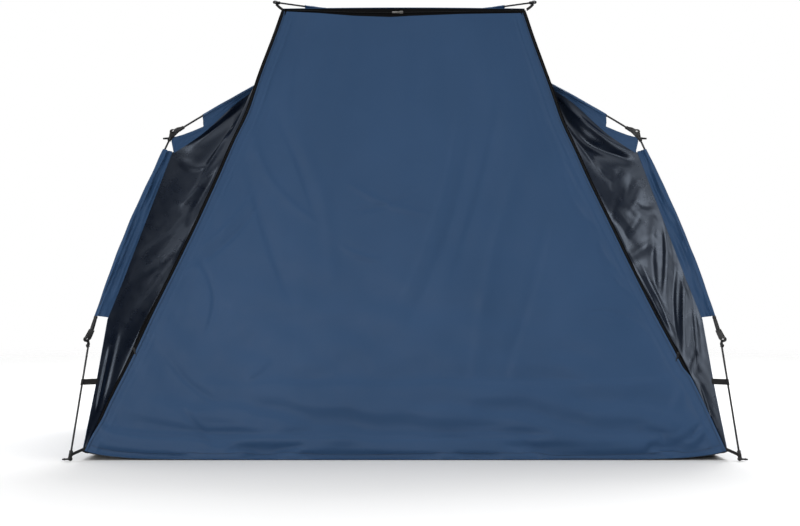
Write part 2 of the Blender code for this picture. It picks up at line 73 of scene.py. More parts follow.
lens = bpy.data.cameras.new("camera")
lens.sensor_width = SENSOR
lens.lens = FOCAL_IN_WIDTHS * SENSOR
camera = bpy.data.objects.new("camera", lens)
camera.location = CAMERA_PLACE
camera.rotation_euler = (radians(90.0), 0.0, 0.0)
bpy.context.scene.collection.objects.link(camera)
bpy.context.scene.camera = camera
bpy.context.scene.view_settings.view_transform = "Standard"
print("lens:", round(lens.lens, 1), "mm")

# %% [markdown]
# ## The studio
#
# The tent stands on a white floor in a white room.  The room is a dome of light: bright overhead
# and behind the tent, dark at the level of the horizon.  Four soft boxes shape it.  A large low
# one from the far front left lights the door and puts the pale sheen on the coated cloth of the
# right side, while the cloth of the left side mirrors the dark of the room.  A second one beside
# the camera fills the door, a smaller one high on the right lightens the sleeves of that side,
# and one high behind the roof makes the soft grey shadow in front of the hem.

# %% Soft boxes
LAMP_AIM = (0.1, 0.0, 0.7)


def softbox(name, place, size, strength):
    """A rectangular lamp of the given width and height that looks from place to LAMP_AIM.

    Its power is strength times its area, so that a larger lamp is softer and not brighter.
    """
    data = bpy.data.lights.new(name, "AREA")
    data.shape = "RECTANGLE"
    data.size, data.size_y = size
    data.energy = strength * size[0] * size[1]
    lamp = bpy.data.objects.new(name, data)
    lamp.location = place
    x, y, z = np.array(LAMP_AIM) - np.array(place)
    lamp.rotation_euler = (atan2(hypot(x, y), -z), 0.0, atan2(-x, y))
    bpy.context.scene.collection.objects.link(lamp)


softbox("front_left", (-9.5, -7.4, 1.4), (5.0, 3.2), 12.0)
softbox("front", (-1.9, -8.0, 1.7), (4.2, 3.0), 13.5)
softbox("right_high", (5.4, -4.4, 4.0), (2.8, 2.8), 9.0)
softbox("behind", (0.6, 2.6, 4.4), (3.0, 2.0), 27.0)
print("soft boxes:", len(bpy.data.lights))

# %% [markdown]
# ## Nodes
#
# A material is a small circuit of nodes: coordinates go in, textures turn them into numbers, and
# the numbers drive the sockets of a shader.  The same few nodes come back in every finish, so
# each has a helper that adds it and wires it.  A number that is the same all over a surface is
# set on the shader's own socket.


# %% Node helpers
def add_node(tree, kind, sockets=None, **settings):
    """A new node with its settings.  A socket gets a value, or a link if it is given an output."""
    node = tree.nodes.new("ShaderNode" + kind)
    for name, value in settings.items():
        setattr(node, name, value)
    for name, value in (sockets or {}).items():
        if isinstance(value, bpy.types.NodeSocket):
            tree.links.new(value, node.inputs[name])
        else:
            node.inputs[name].default_value = value
    return node


def link_noise(tree, source, scale, detail):
    """Noise at a coordinate output; scale is cells in a metre."""
    sockets = {"Vector": source, "Scale": scale, "Detail": detail, "Roughness": 0.55}
    return add_node(tree, "TexNoise", sockets).outputs["Fac"]


def link_range(tree, source, low, high, start=0.3, stop=0.7, kind="LINEAR"):
    """Maps a value from start..stop to low..high."""
    sockets = {"Value": source, "From Min": start, "From Max": stop, "To Min": low, "To Max": high}
    return add_node(tree, "MapRange", sockets, interpolation_type=kind).outputs["Result"]


def link_tint(tree, share, dark, light, shader):
    """The colour of the shader, by a share between two colours."""
    sockets = {"A": (*dark, 1.0), "B": (*light, 1.0), "Factor": share}
    mix = add_node(tree, "Mix", sockets, data_type="RGBA")
    tree.links.new(mix.outputs["Result"], shader.inputs["Base Color"])


def link_gloss(tree, noise, middle, swing, shader):
    """The roughness of the shader, which wanders by swing either side of its middle."""
    rough = link_range(tree, noise, middle - swing, middle + swing)
    tree.links.new(rough, shader.inputs["Roughness"])


def link_threads(tree, source, pitch, direction):
    """Sine bands of the given pitch in metres, across X or Y of a coordinate."""
    sockets = {"Vector": source, "Scale": pi / (10.0 * pitch), "Distortion": 0.0}
    wave = add_node(tree, "TexWave", sockets, wave_type="BANDS", bands_direction=direction)
    return wave.outputs["Fac"]


def link_math(tree, first, second, operation):
    """Two values joined by an operation."""
    return add_node(tree, "Math", {0: first, 1: second}, operation=operation).outputs["Value"]


def link_bump(tree, height, distance, strength, shader, under=None):
    """Relief of the shader from a height, on top of the relief under it if there is one."""
    sockets = {"Height": height, "Distance": distance, "Strength": strength}
    if under is not None:
        sockets["Normal"] = under
    normal = add_node(tree, "Bump", sockets).outputs["Normal"]
    tree.links.new(normal, shader.inputs["Normal"])
    return normal


def set_sockets(shader, sockets):
    """Plain numbers and colours of a shader."""
    for name, value in sockets.items():
        shader.inputs[name].default_value = value


def new_material(name):
    """A node material with its tree, its Principled shader and its coordinate outputs."""
    mat = bpy.data.materials.new(name)
    mat.use_nodes = True
    tree = mat.node_tree
    return mat, tree, tree.nodes["Principled BSDF"], add_node(tree, "TexCoord").outputs


print("materials so far:", len(bpy.data.materials))

# %% [markdown]
# ## Surround and floor
#
# The light of the room depends on the direction alone, and past the tent the camera sees plain
# white.  The floor thins out before its edge, so no horizon shows.  It is left out of
# reflections, because its mirror image would lighten the coated cloth.

# %% Surround and floor
WHITE = (1.0, 1.0, 1.0, 1.0)
FLOOR_PAINT = (0.87, 0.87, 0.87, 1.0)
FLOOR_REACH = 9.0
FLOOR_LEVEL = -0.001


def surround(dim, dome, behind, bright):
    """The room: a dome of light for the tent, plain white where the camera looks past it.

    The light of a direction goes from dim to dome as a smooth S of its height, and is more or
    less by the share behind as the direction points to the back or to the front.
    """
    world = bpy.data.worlds.new("surround")
    bpy.context.scene.world = world
    world.use_nodes = True
    tree = world.node_tree
    place = add_node(tree, "TexCoord").outputs["Generated"]
    split = add_node(tree, "SeparateXYZ", {"Vector": place}).outputs
    rise = link_range(tree, split["Z"], 0.0, 1.0, 0.15, 0.85, "SMOOTHSTEP")
    lean = link_range(tree, split["Y"], 1.0 - behind, 1.0 + behind, -1.0, 1.0)
    strength = link_range(tree, link_math(tree, rise, lean, "MULTIPLY"), dim, dome, 0.0, 1.0)
    light = tree.nodes["Background"]
    light.inputs["Color"].default_value = WHITE
    tree.links.new(strength, light.inputs["Strength"])
    seen = add_node(tree, "Background", {"Color": WHITE, "Strength": bright})
    camera_ray = add_node(tree, "LightPath").outputs["Is Camera Ray"]
    backgrounds = {1: light.outputs["Background"], 2: seen.outputs["Background"]}
    mix = add_node(tree, "MixShader", {"Fac": camera_ray, **backgrounds})
    tree.links.new(mix.outputs["Shader"], tree.nodes["World Output"].inputs["Surface"])


def floor_material(near, far):
    """White paint that thins out to nothing between two distances from the tent."""
    mat, tree, shader, where = new_material("studio_floor")
    set_sockets(shader, {"Base Color": FLOOR_PAINT, "Roughness": 0.9, "Specular IOR Level": 0.1})
    away = add_node(tree, "VectorMath", {0: where["Object"]}, operation="LENGTH").outputs["Value"]
    thin = link_range(tree, away, 0.0, 1.0, near, far, "SMOOTHSTEP")
    clear = add_node(tree, "BsdfTransparent").outputs["BSDF"]
    mix = add_node(tree, "MixShader", {"Fac": thin, 1: shader.outputs["BSDF"], 2: clear})
    tree.links.new(mix.outputs["Shader"], tree.nodes["Material Output"].inputs["Surface"])
    return mat


surround(dim=0.02, dome=1.40, behind=0.90, bright=1.0)
ground = bpy.data.meshes.new("studio_floor")
corners = [(x * FLOOR_REACH, y * FLOOR_REACH, FLOOR_LEVEL)
           for x, y in ((-1, -1), (1, -1), (1, 1), (-1, 1))]
ground.from_pydata(corners, [], [(0, 1, 2, 3)])
ground.materials.append(floor_material(near=3.6, far=7.0))
studio_floor = bpy.data.objects.new("studio_floor", ground)
bpy.context.scene.collection.objects.link(studio_floor)
studio_floor.visible_glossy = False
print("floor:", 2.0 * FLOOR_REACH, "m wide")

# %% [markdown]
# ## Finishes of the cloth
#
# A cloth has a body colour that wanders a little with a broad noise, a roughness that wanders
# with it, and a bump of crossed threads that follows the sheet's own UV map, which is laid out in
# metres.  The shell is a dull polyester.  The front sheets show its coated inner face, which is
# nearly black and has a wet gloss.  The floor is a heavier, coarser cloth.

# %% Cloth finish
WEAVE_DEPTH = 0.00012
CRINKLE_DEPTH = 0.0022


def cloth_finish(name, dark, light, roughness, pitch, relief, crinkle, sockets):
    """Woven cloth: two tones over a broad noise, crossed threads and a fine crinkle."""
    mat, tree, shader, where = new_material(name)
    broad = link_noise(tree, where["Object"], scale=3.2, detail=4.0)
    link_tint(tree, link_range(tree, broad, 0.0, 1.0), dark, light, shader)
    mottle = link_noise(tree, where["Object"], scale=26.0, detail=3.0)
    link_gloss(tree, mottle, roughness, 0.05, shader)
    warp, weft = [link_threads(tree, where["UV"], pitch, way) for way in "XY"]
    threads = link_math(tree, warp, weft, "MAXIMUM")
    weave = link_bump(tree, threads, WEAVE_DEPTH, relief, shader)
    soft = link_noise(tree, where["Object"], scale=42.0, detail=3.0)
    link_bump(tree, soft, CRINKLE_DEPTH, crinkle, shader, weave)
    set_sockets(shader, sockets)
    return mat


shell_cloth = cloth_finish(
    "shell_cloth", (0.0250, 0.0650, 0.1440), (0.0290, 0.0720, 0.1580),
    roughness=0.50, pitch=0.0011, relief=0.35, crinkle=0.10,
    sockets={"Specular IOR Level": 0.20, "Sheen Weight": 0.03, "Sheen Roughness": 0.5},
)
coated_cloth = cloth_finish(
    "coated_cloth", (0.0024, 0.0050, 0.0125), (0.0034, 0.0070, 0.0165),
    roughness=0.30, pitch=0.0009, relief=0.15, crinkle=0.03,
    sockets={"Specular IOR Level": 0.80, "Specular Tint": (0.72, 0.83, 1.0, 1.0)},
)
floor_cloth = cloth_finish(
    "floor_cloth", (0.035, 0.039, 0.045), (0.048, 0.053, 0.060),
    roughness=0.46, pitch=0.0022, relief=0.6, crinkle=0.15,
    sockets={"Specular IOR Level": 0.45},
)
print("cloths:", shell_cloth.name, coated_cloth.name, floor_cloth.name)

# %% [markdown]
# ## Finishes of the hard parts and the trim
#
# Moulded nylon and lacquered rods have a fine grain and a gloss that wanders.  Both read Object
# coordinates, because they have no threads.  Webbing, zip tape and the zip's coil are ribbed
# across their length, so they follow the strip's own UV map as the cloth does.


# %% Hard finishes and trim
def moulded_finish(name, dark, light, roughness, grain, relief, metallic=0.0):
    """Moulded plastic or lacquer: two near tones, a fine grain and a wandering gloss."""
    mat, tree, shader, where = new_material(name)
    broad = link_noise(tree, where["Object"], scale=35.0, detail=3.0)
    link_tint(tree, link_range(tree, broad, 0.0, 1.0), dark, light, shader)
    fine = link_noise(tree, where["Object"], scale=grain, detail=2.0)
    link_gloss(tree, fine, roughness, 0.06, shader)
    link_bump(tree, fine, 0.0002, relief, shader)
    set_sockets(shader, {"Metallic": metallic})
    return mat


def ribbed_finish(name, dark, light, roughness, pitch, relief, specular=0.5):
    """Webbing or zip tape: ribs across the length of the strip's own UV map."""
    mat, tree, shader, where = new_material(name)
    rib = link_threads(tree, where["UV"], pitch, "Y")
    yarn = link_threads(tree, where["UV"], pitch * 0.6, "X")
    weave = link_math(tree, rib, yarn, "MULTIPLY")
    link_tint(tree, weave, dark, light, shader)
    fuzz = link_noise(tree, where["Object"], scale=400.0, detail=2.0)
    link_gloss(tree, fuzz, roughness, 0.07, shader)
    link_bump(tree, weave, 0.0004, relief, shader)
    set_sockets(shader, {"Specular IOR Level": specular})
    return mat


pole_lacquer = moulded_finish("pole_lacquer", (0.010, 0.010, 0.011), (0.016, 0.016, 0.018),
                              roughness=0.30, grain=900.0, relief=0.15)
black_nylon = moulded_finish("black_nylon", (0.011, 0.011, 0.012), (0.019, 0.019, 0.020),
                             roughness=0.42, grain=1400.0, relief=0.35)
rivet_steel = moulded_finish("rivet_steel", (0.42, 0.42, 0.43), (0.56, 0.56, 0.56),
                             roughness=0.30, grain=1100.0, relief=0.20, metallic=1.0)
webbing = ribbed_finish("webbing", (0.006, 0.006, 0.007), (0.024, 0.023, 0.023),
                        roughness=0.68, pitch=0.0016, relief=0.7)
zip_tape = ribbed_finish("zip_tape", (0.0015, 0.0015, 0.0020), (0.0045, 0.0045, 0.0055),
                         roughness=0.70, pitch=0.0012, relief=0.6, specular=0.12)
zip_coil = ribbed_finish("zip_coil", (0.0015, 0.0015, 0.0020), (0.0060, 0.0060, 0.0070),
                         roughness=0.45, pitch=0.0018, relief=1.0, specular=0.25)
slider_grey = moulded_finish("slider_grey", (0.120, 0.116, 0.110), (0.190, 0.184, 0.174),
                             roughness=0.36, grain=900.0, relief=0.2, metallic=0.3)
seam_thread = ribbed_finish("seam_thread", (0.016, 0.036, 0.074), (0.034, 0.066, 0.122),
                            roughness=0.60, pitch=0.0030, relief=0.6)
print("finishes:", len(bpy.data.materials))

# %% [markdown]
# ## From arrays to meshes
#
# Every new shape is a set of arrays: points and quads, worked out for the whole surface at once.
# A shape is kept as (points, quads, caps, uv) until a piece is built, so that several can be
# placed, turned and joined cheaply.  Closed bodies get their normals made consistent at the end.


# %% Grids of points
def points_at(x, y, z):
    """Points from arrays of their x, y and z; a single number counts for all of them."""
    return np.stack(np.broadcast_arrays(x, y, z), -1)


def between(start, stop, share):
    """Points on the straight line from start to stop, at the given shares of its length."""
    return start + (stop - start) * np.asarray(share, float)[:, None]


def grid_quads(rows, cols, wrap=False):
    """Corner numbers of the quads of a grid of points; wrap joins the last column to the first."""
    index = np.arange(rows * cols).reshape(rows, cols)
    if wrap:
        index = np.hstack([index, index[:, :1]])
    corners = [index[:-1, :-1], index[:-1, 1:], index[1:, 1:], index[1:, :-1]]
    return np.stack(corners, -1).reshape(-1, 4)


def normals_of(points):
    """Unit normals of a grid: the cross product of its two directions at each point."""
    normal = np.cross(np.gradient(points, axis=0), np.gradient(points, axis=1))
    return normal / np.maximum(np.linalg.norm(normal, axis=-1, keepdims=True), 1e-12)


def arc_lengths(points, axis):
    """Distance travelled along one axis of a grid, from 0 at its first line."""
    run = np.linalg.norm(np.diff(points, axis=axis), axis=-1)
    start = np.zeros_like(np.take(run, [0], axis=axis))
    return np.concatenate([start, np.cumsum(run, axis=axis)], axis=axis)


print("a grid of 3 by 4 points has", len(grid_quads(3, 4)), "quads")

# %% [markdown]
# Real cloth has a thickness, and so does every sheet here: two layers less than a millimetre
# apart, joined by a rim, so that the mesh is closed.  The map of the weave is the distance along
# the rows and columns, which keeps the threads at their true size.

# %% Cloth as a closed double sheet
CLOTH_THICK = 0.0009


def cloth(points, thick=CLOTH_THICK):
    """A sheet of real thickness: the grid, the same grid moved along its normals, and a rim.

    The UV map is the distance along the rows and columns, in metres.
    """
    rows, cols = points.shape[:2]
    under = points - normals_of(points) * thick
    quads = grid_quads(rows, cols)
    index = np.arange(rows * cols).reshape(rows, cols)
    loop = np.concatenate([index[0, :-1], index[:-1, -1], index[-1, :0:-1], index[:0:-1, 0]])
    ahead = np.roll(loop, -1)
    rim = np.stack([loop, ahead, ahead + rows * cols, loop + rows * cols], -1)
    uv = np.stack([arc_lengths(points, 1), arc_lengths(points, 0)], -1).reshape(-1, 2)
    both = np.concatenate([points.reshape(-1, 3), under.reshape(-1, 3)])
    return both, np.concatenate([quads, quads + rows * cols, rim]), [], np.concatenate([uv, uv])


sample = cloth(points_at(np.arange(4.0), 0.0, np.arange(3.0)[:, None]))
print("a sheet of 3 by 4 points has", len(sample[1]), "faces")

# %% [markdown]
# The hard parts are of two kinds.  Poles, sockets, straps and coils are a profile carried along a
# path.  Joints and sliders are flat outlines with a thickness and rounded edges.  Both are rings
# of points with a cap at each end.


# %% Profile carried along a path
def tube(rings, uv):
    """A closed shape from rings of points: quads round it, and a cap at each end."""
    rows, count = rings.shape[:2]
    caps = [list(range(count)), list(range((rows - 1) * count, rows * count))]
    return rings.reshape(-1, 3), grid_quads(rows, count, True), caps, uv.reshape(-1, 2)


def sweep(path, profile, side, scale=1.0):
    """A closed profile carried along a path.

    At each point the profile's first number runs along side, kept square to the path, and its
    second along the cross product of the path and that; scale may change along the path.
    """
    path = np.asarray(path, float)
    ahead = np.gradient(path, axis=0)
    ahead /= np.linalg.norm(ahead, axis=1, keepdims=True)
    across = np.broadcast_to(np.asarray(side, float), path.shape)
    across = across - (across * ahead).sum(1, keepdims=True) * ahead
    across = across / np.linalg.norm(across, axis=1, keepdims=True)
    up = np.cross(ahead, across)
    size = np.broadcast_to(np.asarray(scale, float), (len(path),))[:, None, None]
    profile = np.asarray(profile, float)
    ring = profile[None, :, :1] * across[:, None, :] + profile[None, :, 1:] * up[:, None, :]
    along = np.repeat(arc_lengths(path, 0)[:, None], len(profile), 1)
    around = np.repeat(arc_lengths(profile, 0)[None, :], len(path), 0)
    return tube(path[:, None, :] + ring * size, np.stack([around, along], -1))


def round_profile(radius, sides=16):
    """Points of a circle."""
    turn = np.linspace(0.0, 2.0 * pi, sides, endpoint=False)
    return np.stack([radius * np.cos(turn), radius * np.sin(turn)], -1)


def flat_profile(width, thick, sides=16, power=0.35):
    """A flat strip with round edges: a circle with its numbers raised to a small power."""
    turn = np.linspace(0.0, 2.0 * pi, sides, endpoint=False) + pi / sides
    bend = np.stack([np.cos(turn), np.sin(turn)], -1)
    return np.sign(bend) * np.abs(bend) ** power * np.array([width / 2.0, thick / 2.0])


def rod(path, radius, side=(0.0, 1.0, 0.0), sides=16):
    """A round bar along a path; radius is one number, or one for each point."""
    return sweep(path, round_profile(1.0, sides), side, radius)


sample = rod(((0.0, 0.0, 0.0), (0.0, 0.0, 1.0)), 0.01)
print("a rod between 2 points has", len(sample[1]), "sides")

# %% [markdown]
# The halves of a joint and the body of a slider are flat, with soft edges that catch a thin line
# of light.  A box with a bevel modifier would do for a rectangle.  These outlines have arcs and
# corners of their own, so the outline itself is moved in a little as it nears each face.


# %% Plate with rounded edges
def plate(outline, half, edge=0.0008, steps=4):
    """A flat outline in the XZ plane given thickness along Y, with its edges rounded.

    Each ring of points is the outline moved in along its own normals by edge times one minus the
    cosine of an angle, at a level that falls off with the sine of that angle.
    """
    outline = np.asarray(outline, float)
    ahead = np.roll(outline, -1, 0) - np.roll(outline, 1, 0)
    inward = np.stack([-ahead[:, 1], ahead[:, 0]], -1)
    inward /= np.linalg.norm(inward, axis=1, keepdims=True)
    x, z = outline[:, 0], outline[:, 1]
    area = (x * np.roll(z, -1) - np.roll(x, -1) * z).sum()
    inward *= 1.0 if area > 0 else -1.0
    angle = np.linspace(0.5 * pi, 0.0, steps)
    inset = edge * (1.0 - np.cos(angle))
    level = edge * (1.0 - np.sin(angle)) - half
    inset = np.concatenate([inset, inset[::-1]])
    level = np.concatenate([level, -level[::-1]])
    flat = outline[None] + inward[None] * inset[:, None, None]
    return tube(points_at(flat[..., 0], level[:, None], flat[..., 1]), flat)


square = ((0.0, 0.0), (1.0, 0.0), (1.0, 1.0), (0.0, 1.0))
print("a square plate has", len(plate(square, 0.1)[0]), "points")

# %% [markdown]
# A piece is often of more than one finish, such as a zip with its tape and its coil.  So it is
# built from groups, each with its own finish, and its faces are turned outwards once.


# %% Shapes into one object
def moved(shape, turn=0.0, by=(0.0, 0.0, 0.0)):
    """The shape turned about the Z axis and then moved."""
    points, quads, caps, uv = shape
    c, s = np.cos(turn), np.sin(turn)
    spin = np.array([[c, s, 0.0], [-s, c, 0.0], [0.0, 0.0, 1.0]])
    return points @ spin + np.array(by), quads, caps, uv


def build(name, groups, sharp=40.0):
    """One object from (material, shapes) groups, with its faces turned outwards."""
    points, faces, uvs, slots = [], [], [], []
    start = 0
    for slot, (_, shapes) in enumerate(groups):
        for verts, quads, caps, uv in shapes:
            points.append(verts)
            uvs.append(uv)
            faces += (quads + start).tolist() + [[start + i for i in cap] for cap in caps]
            slots += [slot] * (len(quads) + len(caps))
            start += len(verts)
    mesh = bpy.data.meshes.new(name)
    mesh.from_pydata(np.concatenate(points), [], faces)
    mesh.polygons.foreach_set("material_index", np.array(slots, np.int32))
    for mat, _ in groups:
        mesh.materials.append(mat)
    bm = bmesh.new()
    bm.from_mesh(mesh)
    bmesh.ops.recalc_face_normals(bm, faces=bm.faces)
    bm.to_mesh(mesh)
    bm.free()
    corner = np.empty(len(mesh.loops), np.int32)
    mesh.loops.foreach_get("vertex_index", corner)
    layer = mesh.uv_layers.new(name="UVMap")
    layer.data.foreach_set("uv", np.concatenate(uvs)[corner].astype(np.float32).ravel())
    mesh.shade_smooth()
    mesh.set_sharp_from_angle(angle=radians(sharp))
    obj = bpy.data.objects.new(name, mesh)
    bpy.context.scene.collection.objects.link(obj)
    return obj


def dress(obj, body, slot, *nodes):
    """The piece rides on a body and stands for CAD nodes, which are hidden; slot is not used."""
    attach(obj, body)
    if nodes:
        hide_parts(*nodes)


print("meshes so far:", len(bpy.data.meshes))

# %% [markdown]
# ## Where the seams run
#
# The frame has four legs in upright planes through the hub and two short front arms.  The seams
# of the shell hang just inside the poles.  These lines are written again here in metres, as
# functions of the distance from the hub or of the height, and the end of an upper pole is printed
# beside that of its imported node.

# %% Lines of the frame
FOOT_X = 1.10
FOOT_Y = 0.65
LEG_X = FOOT_X / hypot(FOOT_X, FOOT_Y)
LEG_Y = FOOT_Y / hypot(FOOT_X, FOOT_Y)
POLE_R = 0.00325
UPPER_END = (0.876, 1.114)
KNUCKLE_PIN = (0.918, 1.097)
MID_TOP = (0.931, 1.064)
MID_END = (1.199, 0.447)
MID_BOW = 0.012
ELBOW_PIN = (1.222, 0.398)
LOWER_TOP = (1.2165, 0.372)
LOWER_END = (1.274, 0.033)
HUB_R = 0.045
HUB_POLE_Z = 1.548
CROWN_R = 0.10
CROWN_Z = 1.512
ARM_CROWN_Z = 1.516
RIDGE = ((1.236, 0.028), (1.192, 0.235), (1.149, 0.464), (1.094, 0.593), (0.905, 1.062))
SEAM_DROP = ((0.10, 0.60, 0.687, 0.743, 0.79, 0.85, 0.92),
             (0.012, 0.012, 0.022, 0.042, 0.058, 0.065, 0.066))
SEAM_CORNER = (0.908, 1.030)
ARM_TIP = np.array([0.454, -0.370, 1.5535])
PANEL_TOP = np.array([0.418, -0.345, 1.535])
ZIP_FOOT = np.array([1.034, -0.6203, 0.030])
ZIP_EDGE = 0.0108
LEGS = (("front_left", -1, -1), ("front_right", 1, -1), ("rear_left", -1, 1), ("rear_right", 1, 1))
SIDES = (("left", -1), ("right", 1))


def smooth_table(value, table, stretch):
    """A table read along straight lines and averaged over a stretch, so that it has no kink."""
    near = np.linspace(-stretch, stretch, 7)
    return sum(np.interp(value + step, *table) for step in near) / len(near)


def upper_pole_z(reach):
    """Height of an upper pole: a parabola that falls away from the hub."""
    return HUB_POLE_Z - 0.377 * reach - 0.135 * reach ** 2


def pole_x(z, top, end, bow=0.0):
    """Reach of a pole at a height: the straight line from top to end, plus a half sine."""
    share = (top[1] - z) / (top[1] - end[1])
    return top[0] + (end[0] - top[0]) * share + bow * np.sin(pi * share)


def mid_pole_x(z):
    """Reach of a middle pole, which bows outwards."""
    return pole_x(z, MID_TOP, MID_END, MID_BOW)


def lower_pole_x(z):
    """Reach of a lower pole, which is straight."""
    return pole_x(z, LOWER_TOP, LOWER_END)


def ridge_x(z):
    """Reach of the seam beside a leg."""
    return np.interp(z, [p[1] for p in RIDGE], [p[0] for p in RIDGE])


def ridge_top_z(reach):
    """The seam under an upper pole: close to it at first, then lower towards the shoulder joint."""
    return upper_pole_z(reach) - smooth_table(reach, SEAM_DROP, 0.03)


def leg_point(side, end, reach, height):
    """Points of a leg's plane as points of the tent."""
    reach = np.asarray(reach, float)
    return points_at(side * LEG_X * reach, end * LEG_Y * reach, height)


pole_low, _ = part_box("upper_pole_front_right")
end_z = upper_pole_z(UPPER_END[0])
print("upper pole ends at z", round(pole_low.z, 4), "formula", round(end_z, 4))

# %% [markdown]
# The door narrows towards the top.  Its zips aren't straight: they bow a little, and not by the
# same amount on the two sides, as sewn zips do when the cloth beside them is pulled.

# %% Lines of the door
DOOR_BOW = {
    -1: ((0.0, 0.06, 0.15, 0.20, 0.25, 0.30, 0.40, 0.50, 0.60, 0.70, 0.80, 0.90, 1.0),
         (0.004, 0.012, 0.018, 0.026, 0.034, 0.0265, 0.0268, 0.023, 0.015, 0.005, 0.0,
          -0.012, -0.012)),
    1: ((0.0, 0.06, 0.10, 0.20, 0.265, 0.32, 0.40, 0.50, 0.60, 0.70, 0.79, 0.90, 1.0),
        (0.012, 0.022, 0.026, 0.036, 0.046, 0.042, 0.0405, 0.032, 0.0245, 0.0135, -0.001,
         -0.012, -0.012)),
}


def door_half(side, share):
    """Half width of the door opening on one side, by the share of its height from the top.

    It is a straight taper less a bow.
    """
    taper = PANEL_TOP[0] + (ZIP_FOOT[0] - PANEL_TOP[0]) * share
    return taper - smooth_table(share, DOOR_BOW[side], 0.025)


def door_line(side, share, shift=0.0, lift=0.0):
    """Points of a door edge, moved outwards by shift and forwards by lift."""
    share = np.asarray(share, float)
    x = side * (door_half(side, share) + shift)
    y = PANEL_TOP[1] + (ZIP_FOOT[1] - PANEL_TOP[1]) * share - lift
    return points_at(x, y, PANEL_TOP[2] + (ZIP_FOOT[2] - PANEL_TOP[2]) * share)


def arm_line(side, share):
    """Points of the seam under a front arm, from the crown to the top corner of the door."""
    arm = ARM_TIP[:2] / np.hypot(*ARM_TIP[:2])
    start = np.array([side * CROWN_R * arm[0], CROWN_R * arm[1], ARM_CROWN_Z])
    return between(start, door_line(side, 0.0, ZIP_EDGE), share)


widths = [round(float(door_half(-1, end) + door_half(1, end)), 3) for end in (0.0, 1.0)]
print("the door is", widths[0], "m wide at the top and", widths[1], "m at the foot")

# %% [markdown]
# ## How a sheet takes its shape
#
# A sheet that is sewn to poles and pulled tight takes the form of a soap film: it curves in
# between its seams.  A subdivided plane could be pulled into that form by hand, but nothing would
# keep its curve even.  So each point is moved to the mean of its neighbours, on a coarse grid
# first and then on finer ones, because a fine grid passes the pull on slowly.


# %% Soap film
FILM_PASSES = ((8, 240), (4, 120), (2, 60), (1, 30))


def resample(points, rows, cols):
    """The grid read at other numbers of rows and columns, along straight lines."""

    def weights(old, new):
        """One row for each new point, with its shares of the two old points beside it."""
        spot = np.linspace(0.0, old - 1.0, new)
        low = np.minimum(spot.astype(int), old - 2)
        table = np.zeros((new, old))
        table[np.arange(new), low] = 1.0 - (spot - low)
        table[np.arange(new), low + 1] += spot - low
        return table

    row_table = weights(points.shape[0], rows)
    col_table = weights(points.shape[1], cols)
    return np.einsum("ri,cj,ijk->rck", row_table, col_table, points)


def patch(left, right, top, bottom, spots=None):
    """A grid between four edge curves: the two ruled surfaces less the one through the corners.

    spots are the shares of the width at which the columns lie; left out, they are even.
    """
    v = np.linspace(0.0, 1.0, len(left))[:, None, None]
    u = (np.linspace(0.0, 1.0, len(top)) if spots is None else spots)[None, :, None]
    ruled = left[:, None] * (1 - u) + right[:, None] * u + top[None] * (1 - v) + bottom[None] * v
    flat = (left[0] * (1 - u) + right[0] * u) * (1 - v) + (left[-1] * (1 - u) + right[-1] * u) * v
    return ruled - flat


def film(start, pull=1.0):
    """Moves each inner point to the mean of its neighbours, from a coarse grid to the full one.

    FILM_PASSES says how coarse each grid is and how often the mean is taken.  pull is how far the
    result goes from the start to the finished film.
    """
    rows, cols = start.shape[:2]
    grid = None
    for coarse, turns in FILM_PASSES:
        r = max(rows // coarse, 4)
        c = max(cols // coarse, 4)
        edges = resample(start, r, c)
        grid = edges if grid is None else resample(grid, r, c)
        for edge in (np.s_[0], np.s_[-1], np.s_[:, 0], np.s_[:, -1]):
            grid[edge] = edges[edge]
        for _ in range(turns):
            mean = grid[:-2, 1:-1] + grid[2:, 1:-1] + grid[1:-1, :-2] + grid[1:-1, 2:]
            grid[1:-1, 1:-1] = mean / 4.0
    return start + (grid - start) * pull


print("film: the grids are", [coarse for coarse, _ in FILM_PASSES], "times as coarse as the sheet")

# %% [markdown]
# The folds that the eye picks out hang in certain places of the real tent, and a simulation would
# put them elsewhere.  They could be sculpted.  Here each is drawn as a ridge along a line, which
# keeps it as one row of numbers that is easy to read and to move.  Between the drawn folds a sum
# of sine waves keeps the cloth from being quite smooth.


# %% Drawn folds
def fold(points, line):
    """Height of a ridge along a line of the front view, for each point of a grid.

    line holds x and z of its start, x and z of its end, the width and height of the ridge, how
    far the line bows sideways, and its lean.  Across the line the ridge is a bell curve that is
    wider on one side as the lean says; along it, it rises and dies away as a half sine.
    """
    a, b = np.array(line[0:2]), np.array(line[2:4])
    width, height, bend, lean = line[4:]
    flat = points[..., [0, 2]] - a
    length = np.hypot(*(b - a))
    along = flat @ (b - a) / length ** 2
    inside = np.clip(along, 0.0, 1.0)
    normal = np.array([-(b - a)[1], (b - a)[0]]) / length
    across = flat @ normal - bend * np.sin(pi * inside)
    ends = np.where((along > 0.0) & (along < 1.0), np.sin(pi * inside) ** 0.6, 0.0)
    reach = width * (1.0 + lean * np.tanh(2.0 * across / width))
    return height * ends * np.exp(-(across / reach) ** 2)


def ripple(shape, waves, seed, aspect=1.0, terms=14):
    """Smooth noise from -1 to 1 on a grid: sine waves of random direction and phase, averaged.

    waves is the most waves that fit in the sheet's height, and aspect its width over its height.
    """
    rng = np.random.default_rng(seed)
    v = np.linspace(0.0, 1.0, shape[0])[:, None]
    u = np.linspace(0.0, aspect, shape[1])[None, :]
    total = np.zeros(shape)
    for _ in range(terms):
        turn = rng.uniform(0.0, 2.0 * pi)
        pace = rng.uniform(0.35, 1.0) * waves * 2.0 * pi
        total += np.sin(pace * (np.cos(turn) * u + np.sin(turn) * v) + rng.uniform(0.0, 2.0 * pi))
    return total / terms ** 0.5 / 1.5


